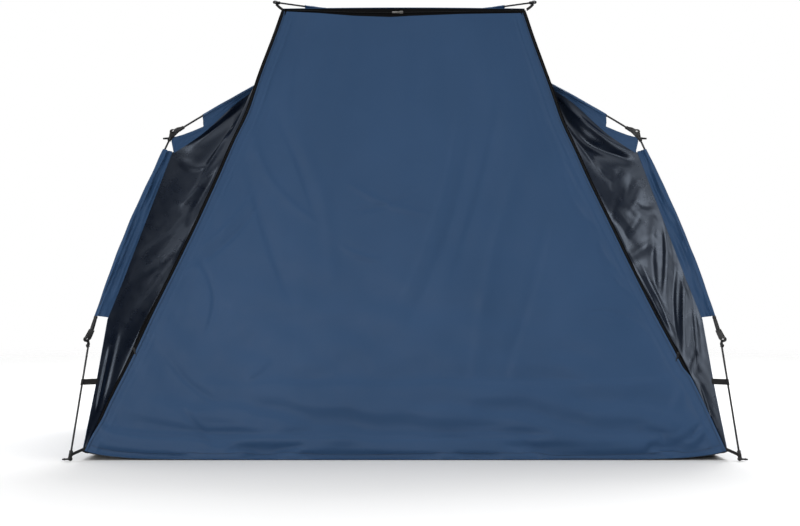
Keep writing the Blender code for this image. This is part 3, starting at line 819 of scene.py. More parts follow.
sample = fold(np.array([0.0, 0.0, 0.5]), (0.0, 0.0, 0.0, 1.0, 0.1, 10.0, 0.0, 0.0))
print("a fold 10 mm high is", round(float(sample), 1), "mm high halfway along")

# %% [markdown]
# A real panel has a little more cloth than the film needs, and that slack buckles between the
# seams.  The cloth simulation of Blender has to be run frame by frame, and is slow on a fine mesh.
# A position-based solver is enough for a sheet that only has to come to rest: it shortens and
# lengthens one set of threads after another, until each has its cut length again.

# %% Cloth solver
DAMPING = 0.92
WEIGHT = 0.00002
BIAS = 0.35


def thread_pairs(grid, slack, bend):
    """Pairs of slices that a thread joins, with its cut length and stiffness.

    Warp and weft join neighbours, bias threads join diagonals, and long threads that skip one
    point keep the cloth from creasing sharply.  Each set is split so that no point is in it twice.
    """
    pairs = []

    def add(a, b, stiff, share):
        """One set of threads; share is how much of the slack they get."""
        give = (slack[a] + slack[b]) / 2.0 * share
        rest = np.linalg.norm(grid[a] - grid[b], axis=-1) * (1.0 + give)
        pairs.append((a, b, rest, stiff))

    for k in (0, 1):
        n = (grid.shape[0] - k) // 2 * 2 + k
        add(np.s_[k:n:2], np.s_[k + 1:n:2], 1.0, 1.0)
        m = (grid.shape[1] - k) // 2 * 2 + k
        add(np.s_[:, k:m:2], np.s_[:, k + 1:m:2], 1.0, 1.0)
        add(np.s_[k:n:2, :-1], np.s_[k + 1:n:2, 1:], BIAS, 1.0)
        add(np.s_[k:n:2, 1:], np.s_[k + 1:n:2, :-1], BIAS, 1.0)
    for k in (0, 1, 2, 3):
        rows = np.arange(k, grid.shape[0] - 2, 4)
        cols = np.arange(k, grid.shape[1] - 2, 4)
        add(np.s_[rows], np.s_[rows + 2], bend, 0.0)
        add((slice(None), cols), (slice(None), cols + 2), bend, 0.0)
    return pairs


def settle(grid, free, slack, turns, seed=1, stir=0.0006, bend=0.3):
    """Lets a sheet find its folds.

    slack is the extra cloth as a share of its length, free is 1 where a point may move and 0 on
    a seam, and WEIGHT is the drop under gravity in each turn.  A thread that is too long or too
    short moves both its ends by half the difference.
    """
    pairs = thread_pairs(grid, np.broadcast_to(np.asarray(slack, float), grid.shape[:2]), bend)
    now = grid + normals_of(grid) * (ripple(grid.shape[:2], 14, seed) * stir * free)[..., None]
    before = now.copy()
    hold = free[..., None]
    for _ in range(turns):
        step = (now - before) * DAMPING
        before = now.copy()
        now = now + step * hold
        now[..., 2] -= WEIGHT * free
        for a, b, rest, stiff in pairs:
            gap = now[a] - now[b]
            size = np.linalg.norm(gap, axis=-1)
            push = gap * (0.5 * stiff * (size - rest) / np.maximum(size, 1e-9))[..., None]
            now[a] -= push * hold[a]
            now[b] += push * hold[b]
    return now


def seam_mask(rows, cols):
    """1 inside the sheet and 0 on its four edges."""
    free = np.ones((rows, cols))
    free[[0, -1]] = 0.0
    free[:, [0, -1]] = 0.0
    return free


def soften(grid, turns):
    """Averages each inner point with its neighbours: a quarter, a half, a quarter, both ways."""
    out = grid.copy()
    for _ in range(turns):
        out[1:-1] = (out[:-2] + 2.0 * out[1:-1] + out[2:]) / 4.0
        out[:, 1:-1] = (out[:, :-2] + 2.0 * out[:, 1:-1] + out[:, 2:]) / 4.0
    return out


def broad_folds(grid, slack, turns, seed, coarse=3, stir=0.003):
    """How far the broad folds move a sheet: the solver runs on every third thread only."""
    rows, cols = grid.shape[:2]
    rough = resample(grid, rows // coarse, cols // coarse)
    shape = rough.shape[:2]
    spare = resample(np.full((rows, cols, 1), slack), *shape)[..., 0]
    found = settle(rough, seam_mask(*shape), spare, turns, seed=seed, stir=stir)
    return soften(resample(found - rough, rows, cols), 5)


def report(name, before, after):
    """Prints how far the solver moved a sheet."""
    shift = np.linalg.norm(after - before, axis=-1).max() * 1000.0
    print(f"{name}: {before.shape[0]} x {before.shape[1]} points, moved {shift:.0f} mm at most")


print("bias threads have", BIAS, "of the stiffness of warp and weft")

# %% [markdown]
# ## A sheet as a piece
#
# Each sheet says how large it was cut: its longest row, its longest column and its area.  A
# narrow leaf of cloth fills little of the rectangle round it, so its width is then stated as that
# of a narrower rectangle, which it fills to about a third.

# %% Sheet as a piece
LEAST_FILL = 0.31


def outward(grid, direction):
    """The grid with its columns in the order that makes its normals point along direction."""
    lean = (normals_of(grid) * np.array(direction)).sum()
    return grid if lean > 0.0 else grid[:, ::-1]


def cut_size(grid):
    """Longest row, longest column and area of a sheet, before it was hung."""
    wide = arc_lengths(grid, 1)[:, -1].max()
    long = arc_lengths(grid, 0)[-1].max()
    cross = np.cross(np.diff(grid, axis=0)[:, :-1], np.diff(grid, axis=1)[:-1])
    area = np.linalg.norm(cross, axis=-1).sum()
    return float(wide), float(long), float(area)


def sheet_piece(name, grid, mat, slot, nodes, thick=CLOTH_THICK):
    """A sheet with its real thickness, its finish, its nodes and its cut size."""
    obj = build(name, [(mat, [cloth(grid, thick)])], 60.0)
    dress(obj, "tent", slot, *nodes)
    wide, long, area = cut_size(grid)
    print(f"{name}: {wide:.2f} x {long:.2f} m, {area:.2f} m2, {len(obj.data.polygons)} faces")
    wide = min(wide, area / (LEAST_FILL * long))


print("cloth fills at least", LEAST_FILL, "of the rectangle that is stated for it")

# %% [markdown]
# ## The roof and walls
#
# Each side of the tent is one piece of cloth from the hub to the ground.  Its two long edges are
# sewn along the seams under the poles of two legs, its lower edge to the floor.  The cloth sags a
# little between its seams, and it creases where the frame turns the corner at the shoulder joint.

# %% Seams of the roof and walls
CORNER_Z = RIDGE[0][1]
ROOF_STEPS = 66
WALL_STEPS = 84
LIFT_RUN = 0.09
HEM_Z = 0.0014


def ridge_line(side, end, roof_steps=ROOF_STEPS, wall_steps=WALL_STEPS):
    """Points of one leg's seam, from the crown to the crease and on to the corner of the floor."""
    reach = np.linspace(CROWN_R, SEAM_CORNER[0], roof_steps)
    height = np.linspace(SEAM_CORNER[1] - 0.004, CORNER_Z, wall_steps)
    roof = leg_point(side, end, reach, ridge_top_z(reach))
    return np.concatenate([roof, leg_point(side, end, ridge_x(height), height)])


def hem_line(start, end, count, bow):
    """Points of a lower edge between two corners.

    It lies at the height HEM_Z and rises to each corner as an exponential of the distance from
    it, and it is bowed towards the middle of the tent.
    """
    share = np.linspace(-1.0, 1.0, count)
    points = start + (end - start) * (share[:, None] + 1.0) / 2.0
    away = (1.0 - np.abs(share)) * np.linalg.norm(end - start) / 2.0
    points[:, 2] = HEM_Z + (start[2] - HEM_Z) * np.exp(-away / LIFT_RUN)
    points[:, :2] *= 1.0 - bow * (1.0 - share[:, None] ** 2)
    return points


seam = ridge_line(1, 1)
print("a leg's seam is", round(float(arc_lengths(seam, 0)[-1]), 2), "m long")

# %% [markdown]
# The rear and the two sides are made alike.  Roof and wall could be two sheets, but the line
# between two meshes looks like a seam.  So one grid does for both, and its crease comes from the
# corner that the seams make at the shoulder joints.

# %% Roof and wall in one sheet
SIDE_BOW = 0.018
SIDE_PULL = 0.6
SIDE_ASPECT = 0.7
BROAD_RELIEF = 0.0040
FINE_RELIEF = 0.0010
BROAD_SLACK = 0.0030
EDGE_SLACK = 0.0030


def side_sheet(first, second, cols, seed):
    """The film between two legs' seams, with the folds that its slack makes.

    The slack is the least in the middle and grows exponentially towards the sewn edges.
    """
    left = ridge_line(*first)
    right = ridge_line(*second)
    top = between(left[0], right[0], np.linspace(0.0, 1.0, cols))
    bottom = hem_line(left[-1], right[-1], cols, SIDE_BOW)
    plain = film(patch(left, right, top, bottom), SIDE_PULL)
    foot = (left[-1] + right[-1])[:2] / 2.0
    plain = outward(plain, (*(foot / np.linalg.norm(foot)), 0.3))
    rows = len(left)
    v = np.linspace(0.0, 1.0, rows)[:, None]
    u = np.linspace(0.0, 1.0, cols)[None, :]
    broad = ripple((rows, cols), 6, seed, SIDE_ASPECT) * BROAD_RELIEF
    loose = broad + ripple((rows, cols), 15, seed + 1, SIDE_ASPECT) * FINE_RELIEF
    free = seam_mask(rows, cols)
    soft = np.minimum(np.sin(pi * u), 0.5) * np.minimum(np.sin(pi * v), 0.35) * 4.0
    grid = plain + broad_folds(plain, BROAD_SLACK, 90, seed)
    grid += normals_of(plain) * (loose * soft * free)[..., None]
    edge = np.exp(-np.minimum(u, 1.0 - u) * cols / 3.0) + np.exp(-(1.0 - v) * rows / 3.0)
    return settle(grid, free, 0.0005 + EDGE_SLACK * edge, 40, seed=seed)


LEG_ENDS = {leg: (side, end) for leg, side, end in LEGS}
for name, first, second, cols, seed, nodes in (
    ("rear_sheet", "rear_right", "rear_left", 132, 70, ("rear_roof", "rear_wall")),
    ("side_sheet_left", "rear_left", "front_left", 86, 105, ("side_roof_left", "side_wall_left")),
    ("side_sheet_right", "front_right", "rear_right", 86, 112,
     ("side_roof_right", "side_wall_right")),
):
    sheet = side_sheet(LEG_ENDS[first], LEG_ENDS[second], cols, seed)
    sheet_piece(name, sheet, shell_cloth, "shell_cloth", nodes)

# %% [markdown]
# ## The front sheets
#
# On each side of the door one sheet of coated cloth runs from the hub, over the shoulder between
# the front arm and the leg, and down beside the zip to the floor.  It is pulled at three points:
# the arm tip, the shoulder joint and the floor corner.  So tight folds fan out from the arm tip,
# and its free outline between the arm tip and the shoulder curves inwards.


# %% Film of the front sheets
SHOULDER_STEPS = 54
GUSSET_STEPS = 190
FRONT_COLS = 104


def shaded_zip_gap(side, share):
    """How wide the zip stands open near its slider: one bump.  The outer tape over it is painted
    shade.
    """
    middle, width, depth = (0.725, 0.045, 0.0065) if side < 0 else (0.802, 0.028, 0.0075)
    return depth * np.exp(-((share - middle) / width) ** 2)


def front_sheet(side):
    """The film between the arm and the zip on one side and the leg's seam on the other."""
    down = np.linspace(0.0, 1.0, GUSSET_STEPS + 1)[1:]
    beside_zip = door_line(side, down, ZIP_EDGE + shaded_zip_gap(side, down))
    inner = np.concatenate([arm_line(side, np.linspace(0.0, 1.0, SHOULDER_STEPS)), beside_zip])
    outer = ridge_line(side, -1, SHOULDER_STEPS, GUSSET_STEPS)
    across = np.linspace(0.0, 1.0, FRONT_COLS)
    top = between(inner[0], outer[0], across)
    bottom = between(inner[-1], outer[-1], across)
    return film(patch(inner, outer, top, bottom))


print("front sheets:", SHOULDER_STEPS + GUSSET_STEPS, "x", FRONT_COLS, "points")

# %% [markdown]
# The folds that catch the light are drawn one by one: long ones that fan out from the arm tip
# and from the foot, and short crumples between them.  The coated cloth is so glossy that even a
# fold of a few millimetres shows, so the solver only evens them out here.

# %% Folds of the front sheets
# Each row: x and z of the start, x and z of the end, width, height, bow of the line, lean.
LEFT_FOLDS = (
    (-0.511, 1.288, -0.676, 0.993, 0.007, 0.0080, 0.016, 0.3),
    (-0.531, 1.249, -0.708, 0.924, 0.006, 0.0070, 0.010, -0.3),
    (-0.553, 1.131, -0.718, 0.778, 0.005, 0.0040, 0.009, 0.0),
    (-0.554, 1.215, -0.752, 1.045, 0.014, -0.0150, 0.007, 0.4),
    (-0.578, 1.222, -0.773, 1.069, 0.009, 0.0060, 0.022, 0.2),
    (-0.649, 1.007, -0.771, 1.007, 0.009, 0.0060, 0.034, -0.4),
    (-0.656, 1.000, -0.760, 0.843, 0.011, 0.0060, 0.007, 0.3),
    (-0.615, 1.000, -0.738, 0.781, 0.013, -0.0060, -0.006, 0.0),
    (-0.693, 0.846, -0.890, 0.680, 0.014, 0.0016, 0.010, 0.3),
    (-0.724, 0.734, -0.914, 0.586, 0.014, 0.0014, 0.003, -0.3),
    (-0.981, 0.377, -1.023, 0.149, 0.007, 0.0060, -0.001, 0.4),
    (-0.956, 0.427, -1.031, 0.100, 0.010, -0.0060, 0.003, 0.0),
)
RIGHT_FOLDS = (
    (0.485, 1.365, 0.645, 0.990, 0.008, 0.0090, -0.028, 0.3),
    (0.532, 1.306, 0.785, 1.024, 0.012, 0.0230, -0.040, -0.5),
    (0.518, 1.270, 0.778, 1.000, 0.018, -0.0300, -0.064, -0.2),
    (0.662, 0.972, 0.715, 0.924, 0.007, -0.0050, -0.003, 0.2),
    (0.737, 0.983, 0.701, 0.897, 0.007, -0.0060, -0.003, 0.3),
    (0.777, 0.952, 0.740, 0.843, 0.008, -0.0070, -0.002, -0.3),
    (0.799, 0.911, 0.753, 0.815, 0.007, 0.0060, 0.005, 0.3),
    (0.735, 0.904, 0.699, 0.815, 0.007, 0.0050, -0.001, 0.2),
    (0.794, 0.846, 0.848, 0.853, 0.006, -0.0050, -0.006, 0.2),
    (0.800, 0.815, 0.751, 0.741, 0.008, -0.0060, 0.001, 0.0),
    (0.698, 0.788, 0.743, 0.694, 0.010, -0.0060, 0.006, 0.3),
    (0.845, 0.734, 0.749, 0.667, 0.014, -0.0080, 0.002, 0.3),
    (0.869, 0.877, 0.866, 0.526, 0.012, -0.0090, 0.011, 0.5),
    (0.844, 0.812, 0.846, 0.526, 0.012, 0.0070, -0.011, -0.2),
    (0.755, 0.653, 0.888, 0.400, 0.009, 0.0070, 0.005, 0.3),
    (0.796, 0.653, 0.902, 0.400, 0.008, -0.0060, 0.003, -0.2),
    (0.910, 0.653, 0.908, 0.394, 0.009, 0.0080, -0.010, -0.5),
    (0.936, 0.627, 0.932, 0.321, 0.014, -0.0130, -0.003, 0.2),
    (0.960, 0.560, 0.978, 0.289, 0.008, 0.0070, 0.000, 0.4),
    (0.973, 0.354, 0.957, 0.269, 0.007, -0.0060, -0.006, 0.0),
    (0.983, 0.246, 1.024, 0.107, 0.006, -0.0060, 0.001, 0.3),
)
for label, side, folds, depth, broad, crumple in (
    ("left", -1, LEFT_FOLDS, 0.80, 0.0020, 0.0001),
    ("right", 1, RIGHT_FOLDS, 0.55, 0.0010, 0.00015),
):
    plain = outward(front_sheet(side), (side * 0.5, -1.0, 0.3))
    free = seam_mask(*plain.shape[:2])
    u = np.linspace(0.0, 1.0, plain.shape[1])[None, :]
    height = sum(fold(plain, line) for line in folds) * depth
    height = height + ripple(free.shape, 9, 5 + side, 0.14) * broad
    height = height + ripple(free.shape, 26, 8 + side, 0.14) * crumple
    soft = np.minimum(np.sin(pi * u) * 4.0, 1.0) * free
    grid = plain + soften(height[..., None] * soft[..., None], 1) * normals_of(plain)
    grid = settle(grid, free, 0.0002, 12, seed=31 + side, stir=0.0)
    report("front_sheet_" + label, plain, grid)
    sheet_piece("front_sheet_" + label, grid, coated_cloth, "coated_cloth",
                ("shoulder_" + label, "gusset_" + label))

# %% [markdown]
# Between the two arms lies a small roof of its own.  Its front edge carries the top zip and rises
# a little in the middle.

# %% Front roof
ROOF_ROWS = 44
ROOF_COLS = 88
EDGE_RISE = 0.0035
ROOF_RELIEF = 0.0022

down = np.linspace(0.0, 1.0, ROOF_ROWS)
across = np.linspace(0.0, 1.0, ROOF_COLS)
left = arm_line(-1, down)
right = arm_line(1, down)
top = between(left[0], right[0], across)
bottom = between(left[-1], right[-1], across)
bottom[:, 2] += EDGE_RISE * np.sin(pi * across)
grid = outward(film(patch(left, right, top, bottom)), (0.0, -0.2, 1.0))
free = seam_mask(ROOF_ROWS, ROOF_COLS)
start = grid + normals_of(grid) * (ripple(free.shape, 5, 3) * ROOF_RELIEF * free)[..., None]
grid = settle(start, free, 0.004, 80, seed=3)
sheet_piece("roof_front", grid, shell_cloth, "shell_cloth", ("front_roof",))

# %% [markdown]
# ## The door
#
# The door is the face of the tent: one large panel, zipped along its sides and top and sewn to
# the front edge of the floor.  It is nearly flat, so every small crease shows: the fold lines
# from packing, soft diagonal wrinkles where it is pulled, and the puckered hem along the ground.
# It has to lie down flat in front of the tent when it is open, so it bulges inwards more than
# outwards.

# %% Outline of the door
HINGE_Y = -0.625
HEM_R = 0.0045
LEAN_RUN = (PANEL_TOP[1] - HINGE_Y) / (PANEL_TOP[2] - HEM_R)
DOOR_ROWS = 186
DOOR_COLS = 236
DOOR_START = 0.012
TOP_EDGE_X = (-0.42, -0.30, -0.18, -0.05, 0.02, 0.20, 0.42)
TOP_EDGE_Z = (1.5250, 1.5190, 1.5090, 1.5045, 1.5085, 1.5155, 1.5190)
DOOR_HEIGHT = 1.5
LAP = 0.011
EXTRA_LAP = 0.003
FACING = (0.0, -1.0, 0.0)


def door_y(z):
    """How far forward the flat door is at a height."""
    return HINGE_Y + (z - HEM_R) * LEAN_RUN


def smooth_step(value, start, stop):
    """0 before start, 1 after stop, and a smooth S in between."""
    t = np.clip((value - start) / (stop - start), 0.0, 1.0)
    return t * t * (3.0 - 2.0 * t)


def door_cover(side, share):
    """How far the door's edge laps over the zip near the floor, in metres."""
    if side < 0:
        return LAP * smooth_step(share, 0.925, 0.985)
    return LAP * smooth_step(share, 0.815, 0.845) + EXTRA_LAP * smooth_step(share, 0.90, 1.0)


def door_grid():
    """The flat door, and where its columns lie from -1 to 1.

    Rows run from the top zip to the floor.  Columns are closer together at the zips.  Where the
    edge laps over the zip it is lifted off it.
    """
    share = np.linspace(DOOR_START, 1.0, DOOR_ROWS)
    edges = []
    for side in (-1, 1):
        cover = door_cover(side, share)
        lift = 0.0015 + 0.0045 * smooth_step(cover, 0.0, 0.004)
        edges.append(door_line(side, share, cover, lift))
    left, right = edges
    even = np.linspace(-1.0, 1.0, DOOR_COLS)
    across = 0.45 * even + 0.55 * np.sin(even * pi / 2.0)
    top_x = left[0, 0] + (right[0, 0] - left[0, 0]) * (across + 1.0) / 2.0
    top_z = np.interp(top_x, TOP_EDGE_X, TOP_EDGE_Z)
    top = points_at(top_x, door_y(top_z), top_z)
    left[0], right[0] = top[0], top[-1]
    bottom = hem_line(left[-1], right[-1], DOOR_COLS, 0.0)
    bottom = np.stack([np.interp(across, even, bottom[:, k]) for k in range(3)], -1)
    return patch(left, right, top, bottom, (across + 1.0) / 2.0), across


flat_door, across = door_grid()
print("door:", *flat_door.shape[:2], "points")

# %% [markdown]
# The relief of the door has four parts.  Sharp straight lines are left from packing, where the
# cloth was pressed.  Soft wrinkles run along drawn lines, as on the front sheets.  Broad ripples
# make the sheet look unstarched.  Last come narrow folds beside the zips, which the solver would
# smooth away, so they are added after it.

# %% Folds of the door
# Each row as for the front sheets.
DOOR_FOLDS = (
    (-0.358, 1.501, -0.388, 1.148, 0.016, -0.0035, 0.000, 0.4),
    (-0.420, 1.487, -0.457, 1.197, 0.018, 0.0030, 0.005, 0.0),
    (-0.482, 1.246, -0.299, 0.813, 0.014, -0.0040, 0.016, 0.4),
    (-0.533, 1.183, -0.299, 0.806, 0.014, 0.0045, -0.057, -0.4),
    (-0.554, 1.054, -0.380, 0.526, 0.020, -0.0045, -0.010, 0.5),
    (-0.388, 1.141, -0.252, 0.526, 0.026, 0.0030, 0.051, 0.0),
    (-0.507, 0.912, -0.733, 0.680, 0.007, 0.0035, 0.015, 0.4),
    (-0.486, 0.878, -0.706, 0.653, 0.008, -0.0035, 0.015, -0.2),
    (-0.682, 0.677, -0.778, 0.593, 0.006, 0.0030, 0.000, 0.3),
    (-0.693, 0.677, -0.670, 0.426, 0.009, -0.0040, 0.038, 0.4),
    (-0.802, 0.366, -0.621, 0.201, 0.009, -0.0035, -0.019, 0.4),
    (-0.741, 0.188, -0.605, 0.045, 0.009, -0.0035, -0.005, -0.4),
    (-0.451, 0.353, -0.543, 0.274, 0.009, 0.0025, 0.004, 0.3),
    (-0.880, 0.162, -0.480, 0.117, 0.014, 0.0025, -0.015, 0.2),
    (-1.016, 0.078, -0.631, 0.045, 0.006, -0.0025, -0.018, 0.4),
    (-1.042, 0.071, -0.995, 0.039, 0.005, -0.0030, -0.002, 0.0),
    (-1.023, 0.091, -0.988, 0.035, 0.005, 0.0030, 0.001, 0.0),
    (0.189, 1.169, -0.050, 0.459, 0.020, 0.0040, 0.030, 0.5),
    (0.237, 1.148, -0.003, 0.426, 0.018, -0.0035, 0.032, 0.2),
    (0.345, 1.309, 0.152, 0.586, 0.018, -0.0040, 0.015, 0.4),
    (0.436, 1.141, 0.215, 0.130, 0.024, 0.0040, -0.043, 0.3),
    (0.500, 0.847, 0.309, 0.228, 0.016, -0.0035, 0.012, -0.4),
    (-0.205, 0.947, 0.085, 0.833, 0.009, 0.0025, -0.020, 0.2),
    (-0.180, 0.844, 0.065, 0.926, 0.008, -0.0025, -0.015, 0.0),
    (-0.220, 0.728, -0.078, 0.680, 0.007, 0.0025, -0.011, 0.3),
    (0.543, 1.016, 0.589, 0.912, 0.008, 0.0040, 0.005, 0.3),
    (0.609, 0.905, 0.648, 0.816, 0.007, 0.0040, 0.001, -0.3),
    (0.568, 0.878, 0.661, 0.775, 0.007, -0.0035, -0.007, 0.2),
    (0.680, 0.735, 0.753, 0.653, 0.009, 0.0050, 0.009, 0.4),
    (0.653, 0.741, 0.745, 0.626, 0.008, -0.0045, -0.017, 0.0),
    (0.719, 0.640, 0.791, 0.566, 0.006, 0.0035, -0.005, 0.3),
    (0.698, 0.620, 0.777, 0.546, 0.006, -0.0035, -0.007, 0.3),
    (0.601, 0.496, 0.807, 0.432, 0.006, -0.0030, 0.031, 0.5),
    (0.769, 0.519, 0.841, 0.439, 0.005, 0.0030, 0.002, 0.3),
    (0.950, 0.287, 0.869, 0.045, 0.018, 0.0040, -0.024, 0.4),
    (1.022, 0.260, 0.945, 0.130, 0.010, -0.0030, -0.003, 0.3),
    (0.930, 0.071, 0.978, 0.120, 0.005, -0.0060, -0.001, 0.5),
    (0.949, 0.048, 1.004, 0.117, 0.006, 0.0050, 0.001, 0.3),
    (0.965, 0.149, 1.043, 0.097, 0.005, 0.0040, 0.002, 0.3),
    (0.779, 0.130, 0.810, 0.045, 0.008, 0.0025, 0.011, 0.0),
)


def crease(distance, width, height):
    """A pressed fold line: a sharp ridge whose height falls off exponentially."""
    return height * np.exp(-np.abs(distance) / width)


x, z = flat_door[..., 0], flat_door[..., 2]
shape = flat_door.shape[:2]
free = seam_mask(*shape)
left_press = crease(x + 0.36 + 0.03 * z + 0.02 * z * z, 0.020, -0.0012)
right_press = crease(x - 0.385 + 0.04 * z, 0.022, 0.0009)
low_press = crease(z - 0.53 - 0.05 * x, 0.020, -0.0008)
high_press = crease(z - 1.05 + 0.04 * x * x, 0.020, 0.0007)
height = left_press + right_press
height += low_press + high_press
height *= 0.35 + 0.65 * smooth_step(ripple(shape, 3, 60), -0.4, 0.6)
height = height + sum(fold(flat_door, line) for line in DOOR_FOLDS) * 0.9
height += ripple(shape, 3, 61, 1.3) * 0.0045 + ripple(shape, 8, 62, 1.3) * 0.0007
print("relief of the door:", round(float(np.abs(height).max()) * 1000, 1), "mm at most")

# %% [markdown]
# The relief fades out at the zips and at the hem.  Along the hem the cloth gets extra length,
# most of it right of the middle, so that it puckers there.

# %% Settled door
NARROW_FOLD = 0.0095
NARROW_DEPTH = 0.55
PUCKER_SLACK = 0.014

from_hem = np.arange(DOOR_ROWS)[::-1, None] / DOOR_ROWS * DOOR_HEIGHT
half_width = np.abs(x).max(1, keepdims=True)
from_side = np.minimum(across[None, :] + 1.0, 1.0 - across[None, :]) * half_width
soft = np.minimum(from_side / 0.05, 1.0) * np.minimum(from_hem / 0.06, 1.0) * free
start = flat_door + normals_of(flat_door) * (height * soft)[..., None]
start = start + broad_folds(flat_door, 0.0005, 60, 9, stir=0.002)
most = 0.15 + 0.85 * np.exp(-((x - 0.42) / 0.36) ** 2)
pucker = PUCKER_SLACK * np.exp(-from_hem / 0.016) * most
grid = outward(settle(start, free, 0.0002 + pucker, 60, seed=9, stir=0.0003), FACING)
narrow = [line for line in DOOR_FOLDS if line[4] < NARROW_FOLD]
small = sum(fold(flat_door, line) for line in narrow) * NARROW_DEPTH
small += ripple(shape, 30, 64, 1.3) * 0.0010 * np.exp(-from_side / 0.07)
grid = grid + normals_of(flat_door) * (small * soft)[..., None]
report("door", flat_door, grid)

# %% [markdown]
# The open door lies on the ground, so what bulges outwards when it is closed would then dip
# below.  A soft limit holds the bulge, most of all near the hinge, and keeps the door in front of
# the zip tapes.  Then the edge gets the low roll of its hem, and the piece takes the place of the
# front panel.


# %% Door that can lie down
def keep_above(grid, base):
    """Holds the outward bulge under what the open door has below it, with a soft limit.

    The limit is a hyperbolic tangent.  Beside the zips it also holds the door in front of their
    tapes.
    """
    ahead = -(grid - base)[..., 1]
    limit = 0.0022 + 0.006 * np.maximum(base[..., 2], 0.02)
    over = limit * np.tanh(np.maximum(ahead, 0.0) / limit)
    room = 0.0012 + 0.6 * np.maximum(from_side - 0.034, 0.0)
    under = -room * np.tanh(np.maximum(-ahead, 0.0) / room)
    out = grid.copy()
    out[..., 1] = base[..., 1] - np.where(ahead > 0.0, over, under)
    return out


def hem_ridge(middle, width, height):
    """A bell curve of the distance from the door's side."""
    return np.exp(-((from_side - middle) / width) ** 2) * height


door = keep_above(grid, flat_door)
hem_roll = hem_ridge(0.004, 0.003, 0.0007) - hem_ridge(0.026, 0.0045, 0.0009)
door = door + normals_of(door) * (hem_roll * free)[..., None]
door_piece = build("door", [(shell_cloth, [cloth(door)])], 60.0)
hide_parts("front_panel")
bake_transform(door_piece)
report("door", flat_door, door)

# %% [markdown]
# The door's edge is folded back and stitched: a second layer along the sides and the foot, with a
# row of stitches near its inner edge.  The hem is a piece of its own.

# %% Hems of the door
HEM_OUT = 0.0012
STITCH_OUT = 0.0015
STITCH_R = 0.00045

outer = door + normals_of(door) * HEM_OUT
stitches = door + normals_of(door) * STITCH_OUT
bands = [outer[:, :3], outer[:, -3:], outer[-4:, 3:-3]]
pairs = ((stitches[:, 1], stitches[:, 2]), (stitches[:, -2], stitches[:, -3]),
         (stitches[-3, 3:-3], stitches[-4, 3:-3]))
lines = [edge * 0.15 + inner * 0.85 for edge, inner in pairs]
hem_piece = build("door_hem", [
    (shell_cloth, [cloth(band) for band in bands]),
    (seam_thread, [rod(line, STITCH_R, sides=6) for line in lines]),
], 60.0)
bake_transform(hem_piece)

# %% [markdown]
# ## The floor
#
# A grey sheet closes the tent below.  It lies loosely on the ground and its four corners are
# lifted a little by the straps at the feet.

# %% Floor sheet
FLOOR_ROWS = 84
FLOOR_COLS = 130
FLOOR_Z = 0.0032
FRONT_BOW = 0.012

corner = {(side, end): leg_point(side, end, RIDGE[0][0], CORNER_Z) for _, side, end in LEGS}
front = hem_line(corner[-1, -1], corner[1, -1], FLOOR_COLS, FRONT_BOW)
back = hem_line(corner[-1, 1], corner[1, 1], FLOOR_COLS, SIDE_BOW)
left, right = [hem_line(corner[side, 1], corner[side, -1], FLOOR_ROWS, SIDE_BOW)
               for side in (-1, 1)]
grid = patch(left, right, back, front)
v = np.linspace(-1.0, 1.0, FLOOR_ROWS)[:, None]
u = np.linspace(-1.0, 1.0, FLOOR_COLS)[None, :]
inside = np.clip((1.0 - np.abs(u) ** 8) * (1.0 - np.abs(v) ** 8) * 1.15, 0.0, 1.0)
wave = np.maximum(ripple(grid.shape[:2], 8, 71), 0.0) * 0.0030
lift = sum(np.exp(-np.linalg.norm(grid[..., :2] - spot[:2], axis=-1) / LIFT_RUN)
           for spot in corner.values())
grid[..., 2] = FLOOR_Z + wave * inside + (CORNER_Z - FLOOR_Z) * lift
grid = outward(grid, (0.0, 0.0, 1.0))
grid[..., :2] *= 0.9988
sheet_piece("floor_sheet", grid, floor_cloth, "floor_cloth", ("floor",))

# %% [markdown]
# ## Sleeves
#
# The shell hangs on the poles in sleeves: a strip of cloth leaves the seam, runs round the pole
# and comes back to the seam.  One function makes them all, and the webbing loops too.  In the
# plane across the pole its outline is two straight webs that meet a circle round the pole.

# %% Cloth round a pole
SLEEVE_THICK = 0.0007
SLEEVE_WEB = 0.0009


def wrap_grid(pole, seam, loop, web, webs=7, arcs=17):
    """A sheet from a seam round a pole and back, in a leg's own plane.

    pole and seam are (reach, height) points, row by row.  Across the plane the sheet is web
    either side of it; at the pole it is a circle with the radius loop.  loop and web may change
    along the pole.
    """
    pole, seam = np.asarray(pole, float), np.asarray(seam, float)
    span = pole - seam
    depth = np.linalg.norm(span, axis=1)[:, None]
    loop = np.broadcast_to(np.asarray(loop, float), (len(pole),))[:, None]
    web = np.broadcast_to(np.asarray(web, float), (len(pole),))[:, None]
    meet = np.arcsin(np.minimum(web / loop, 0.95))
    turn = np.linspace(-1.0, 1.0, arcs)[None, :] * (pi - meet)
    out = np.linspace(0.0, 1.0, webs)[None, :-1] * (depth - loop * np.cos(meet))
    a = np.concatenate([out, depth + loop * np.cos(turn), out[:, ::-1]], 1)
    b = np.concatenate([-web + 0.0 * out, loop * np.sin(turn), web + 0.0 * out], 1)
    ahead = span / depth
    flat = seam[:, None, :] + ahead[:, None, :] * a[..., None]
    return points_at(flat[..., 0], b, flat[..., 1])


def sway(grid, height, seed, waves=5):
    """Soft folds of a web: noise across its plane, the same in both layers, gone at both edges."""
    rows, cols = grid.shape[:2]
    half = ripple((rows, cols // 2 + 1), waves, seed)
    noise = np.concatenate([half, half[:, :cols - cols // 2 - 1][:, ::-1]], 1)
    fade = np.sin(pi * np.abs(np.linspace(-1.0, 1.0, cols))) ** 0.8
    out = grid.copy()
    out[..., 1] += fade[None, :] * noise * height
    return out


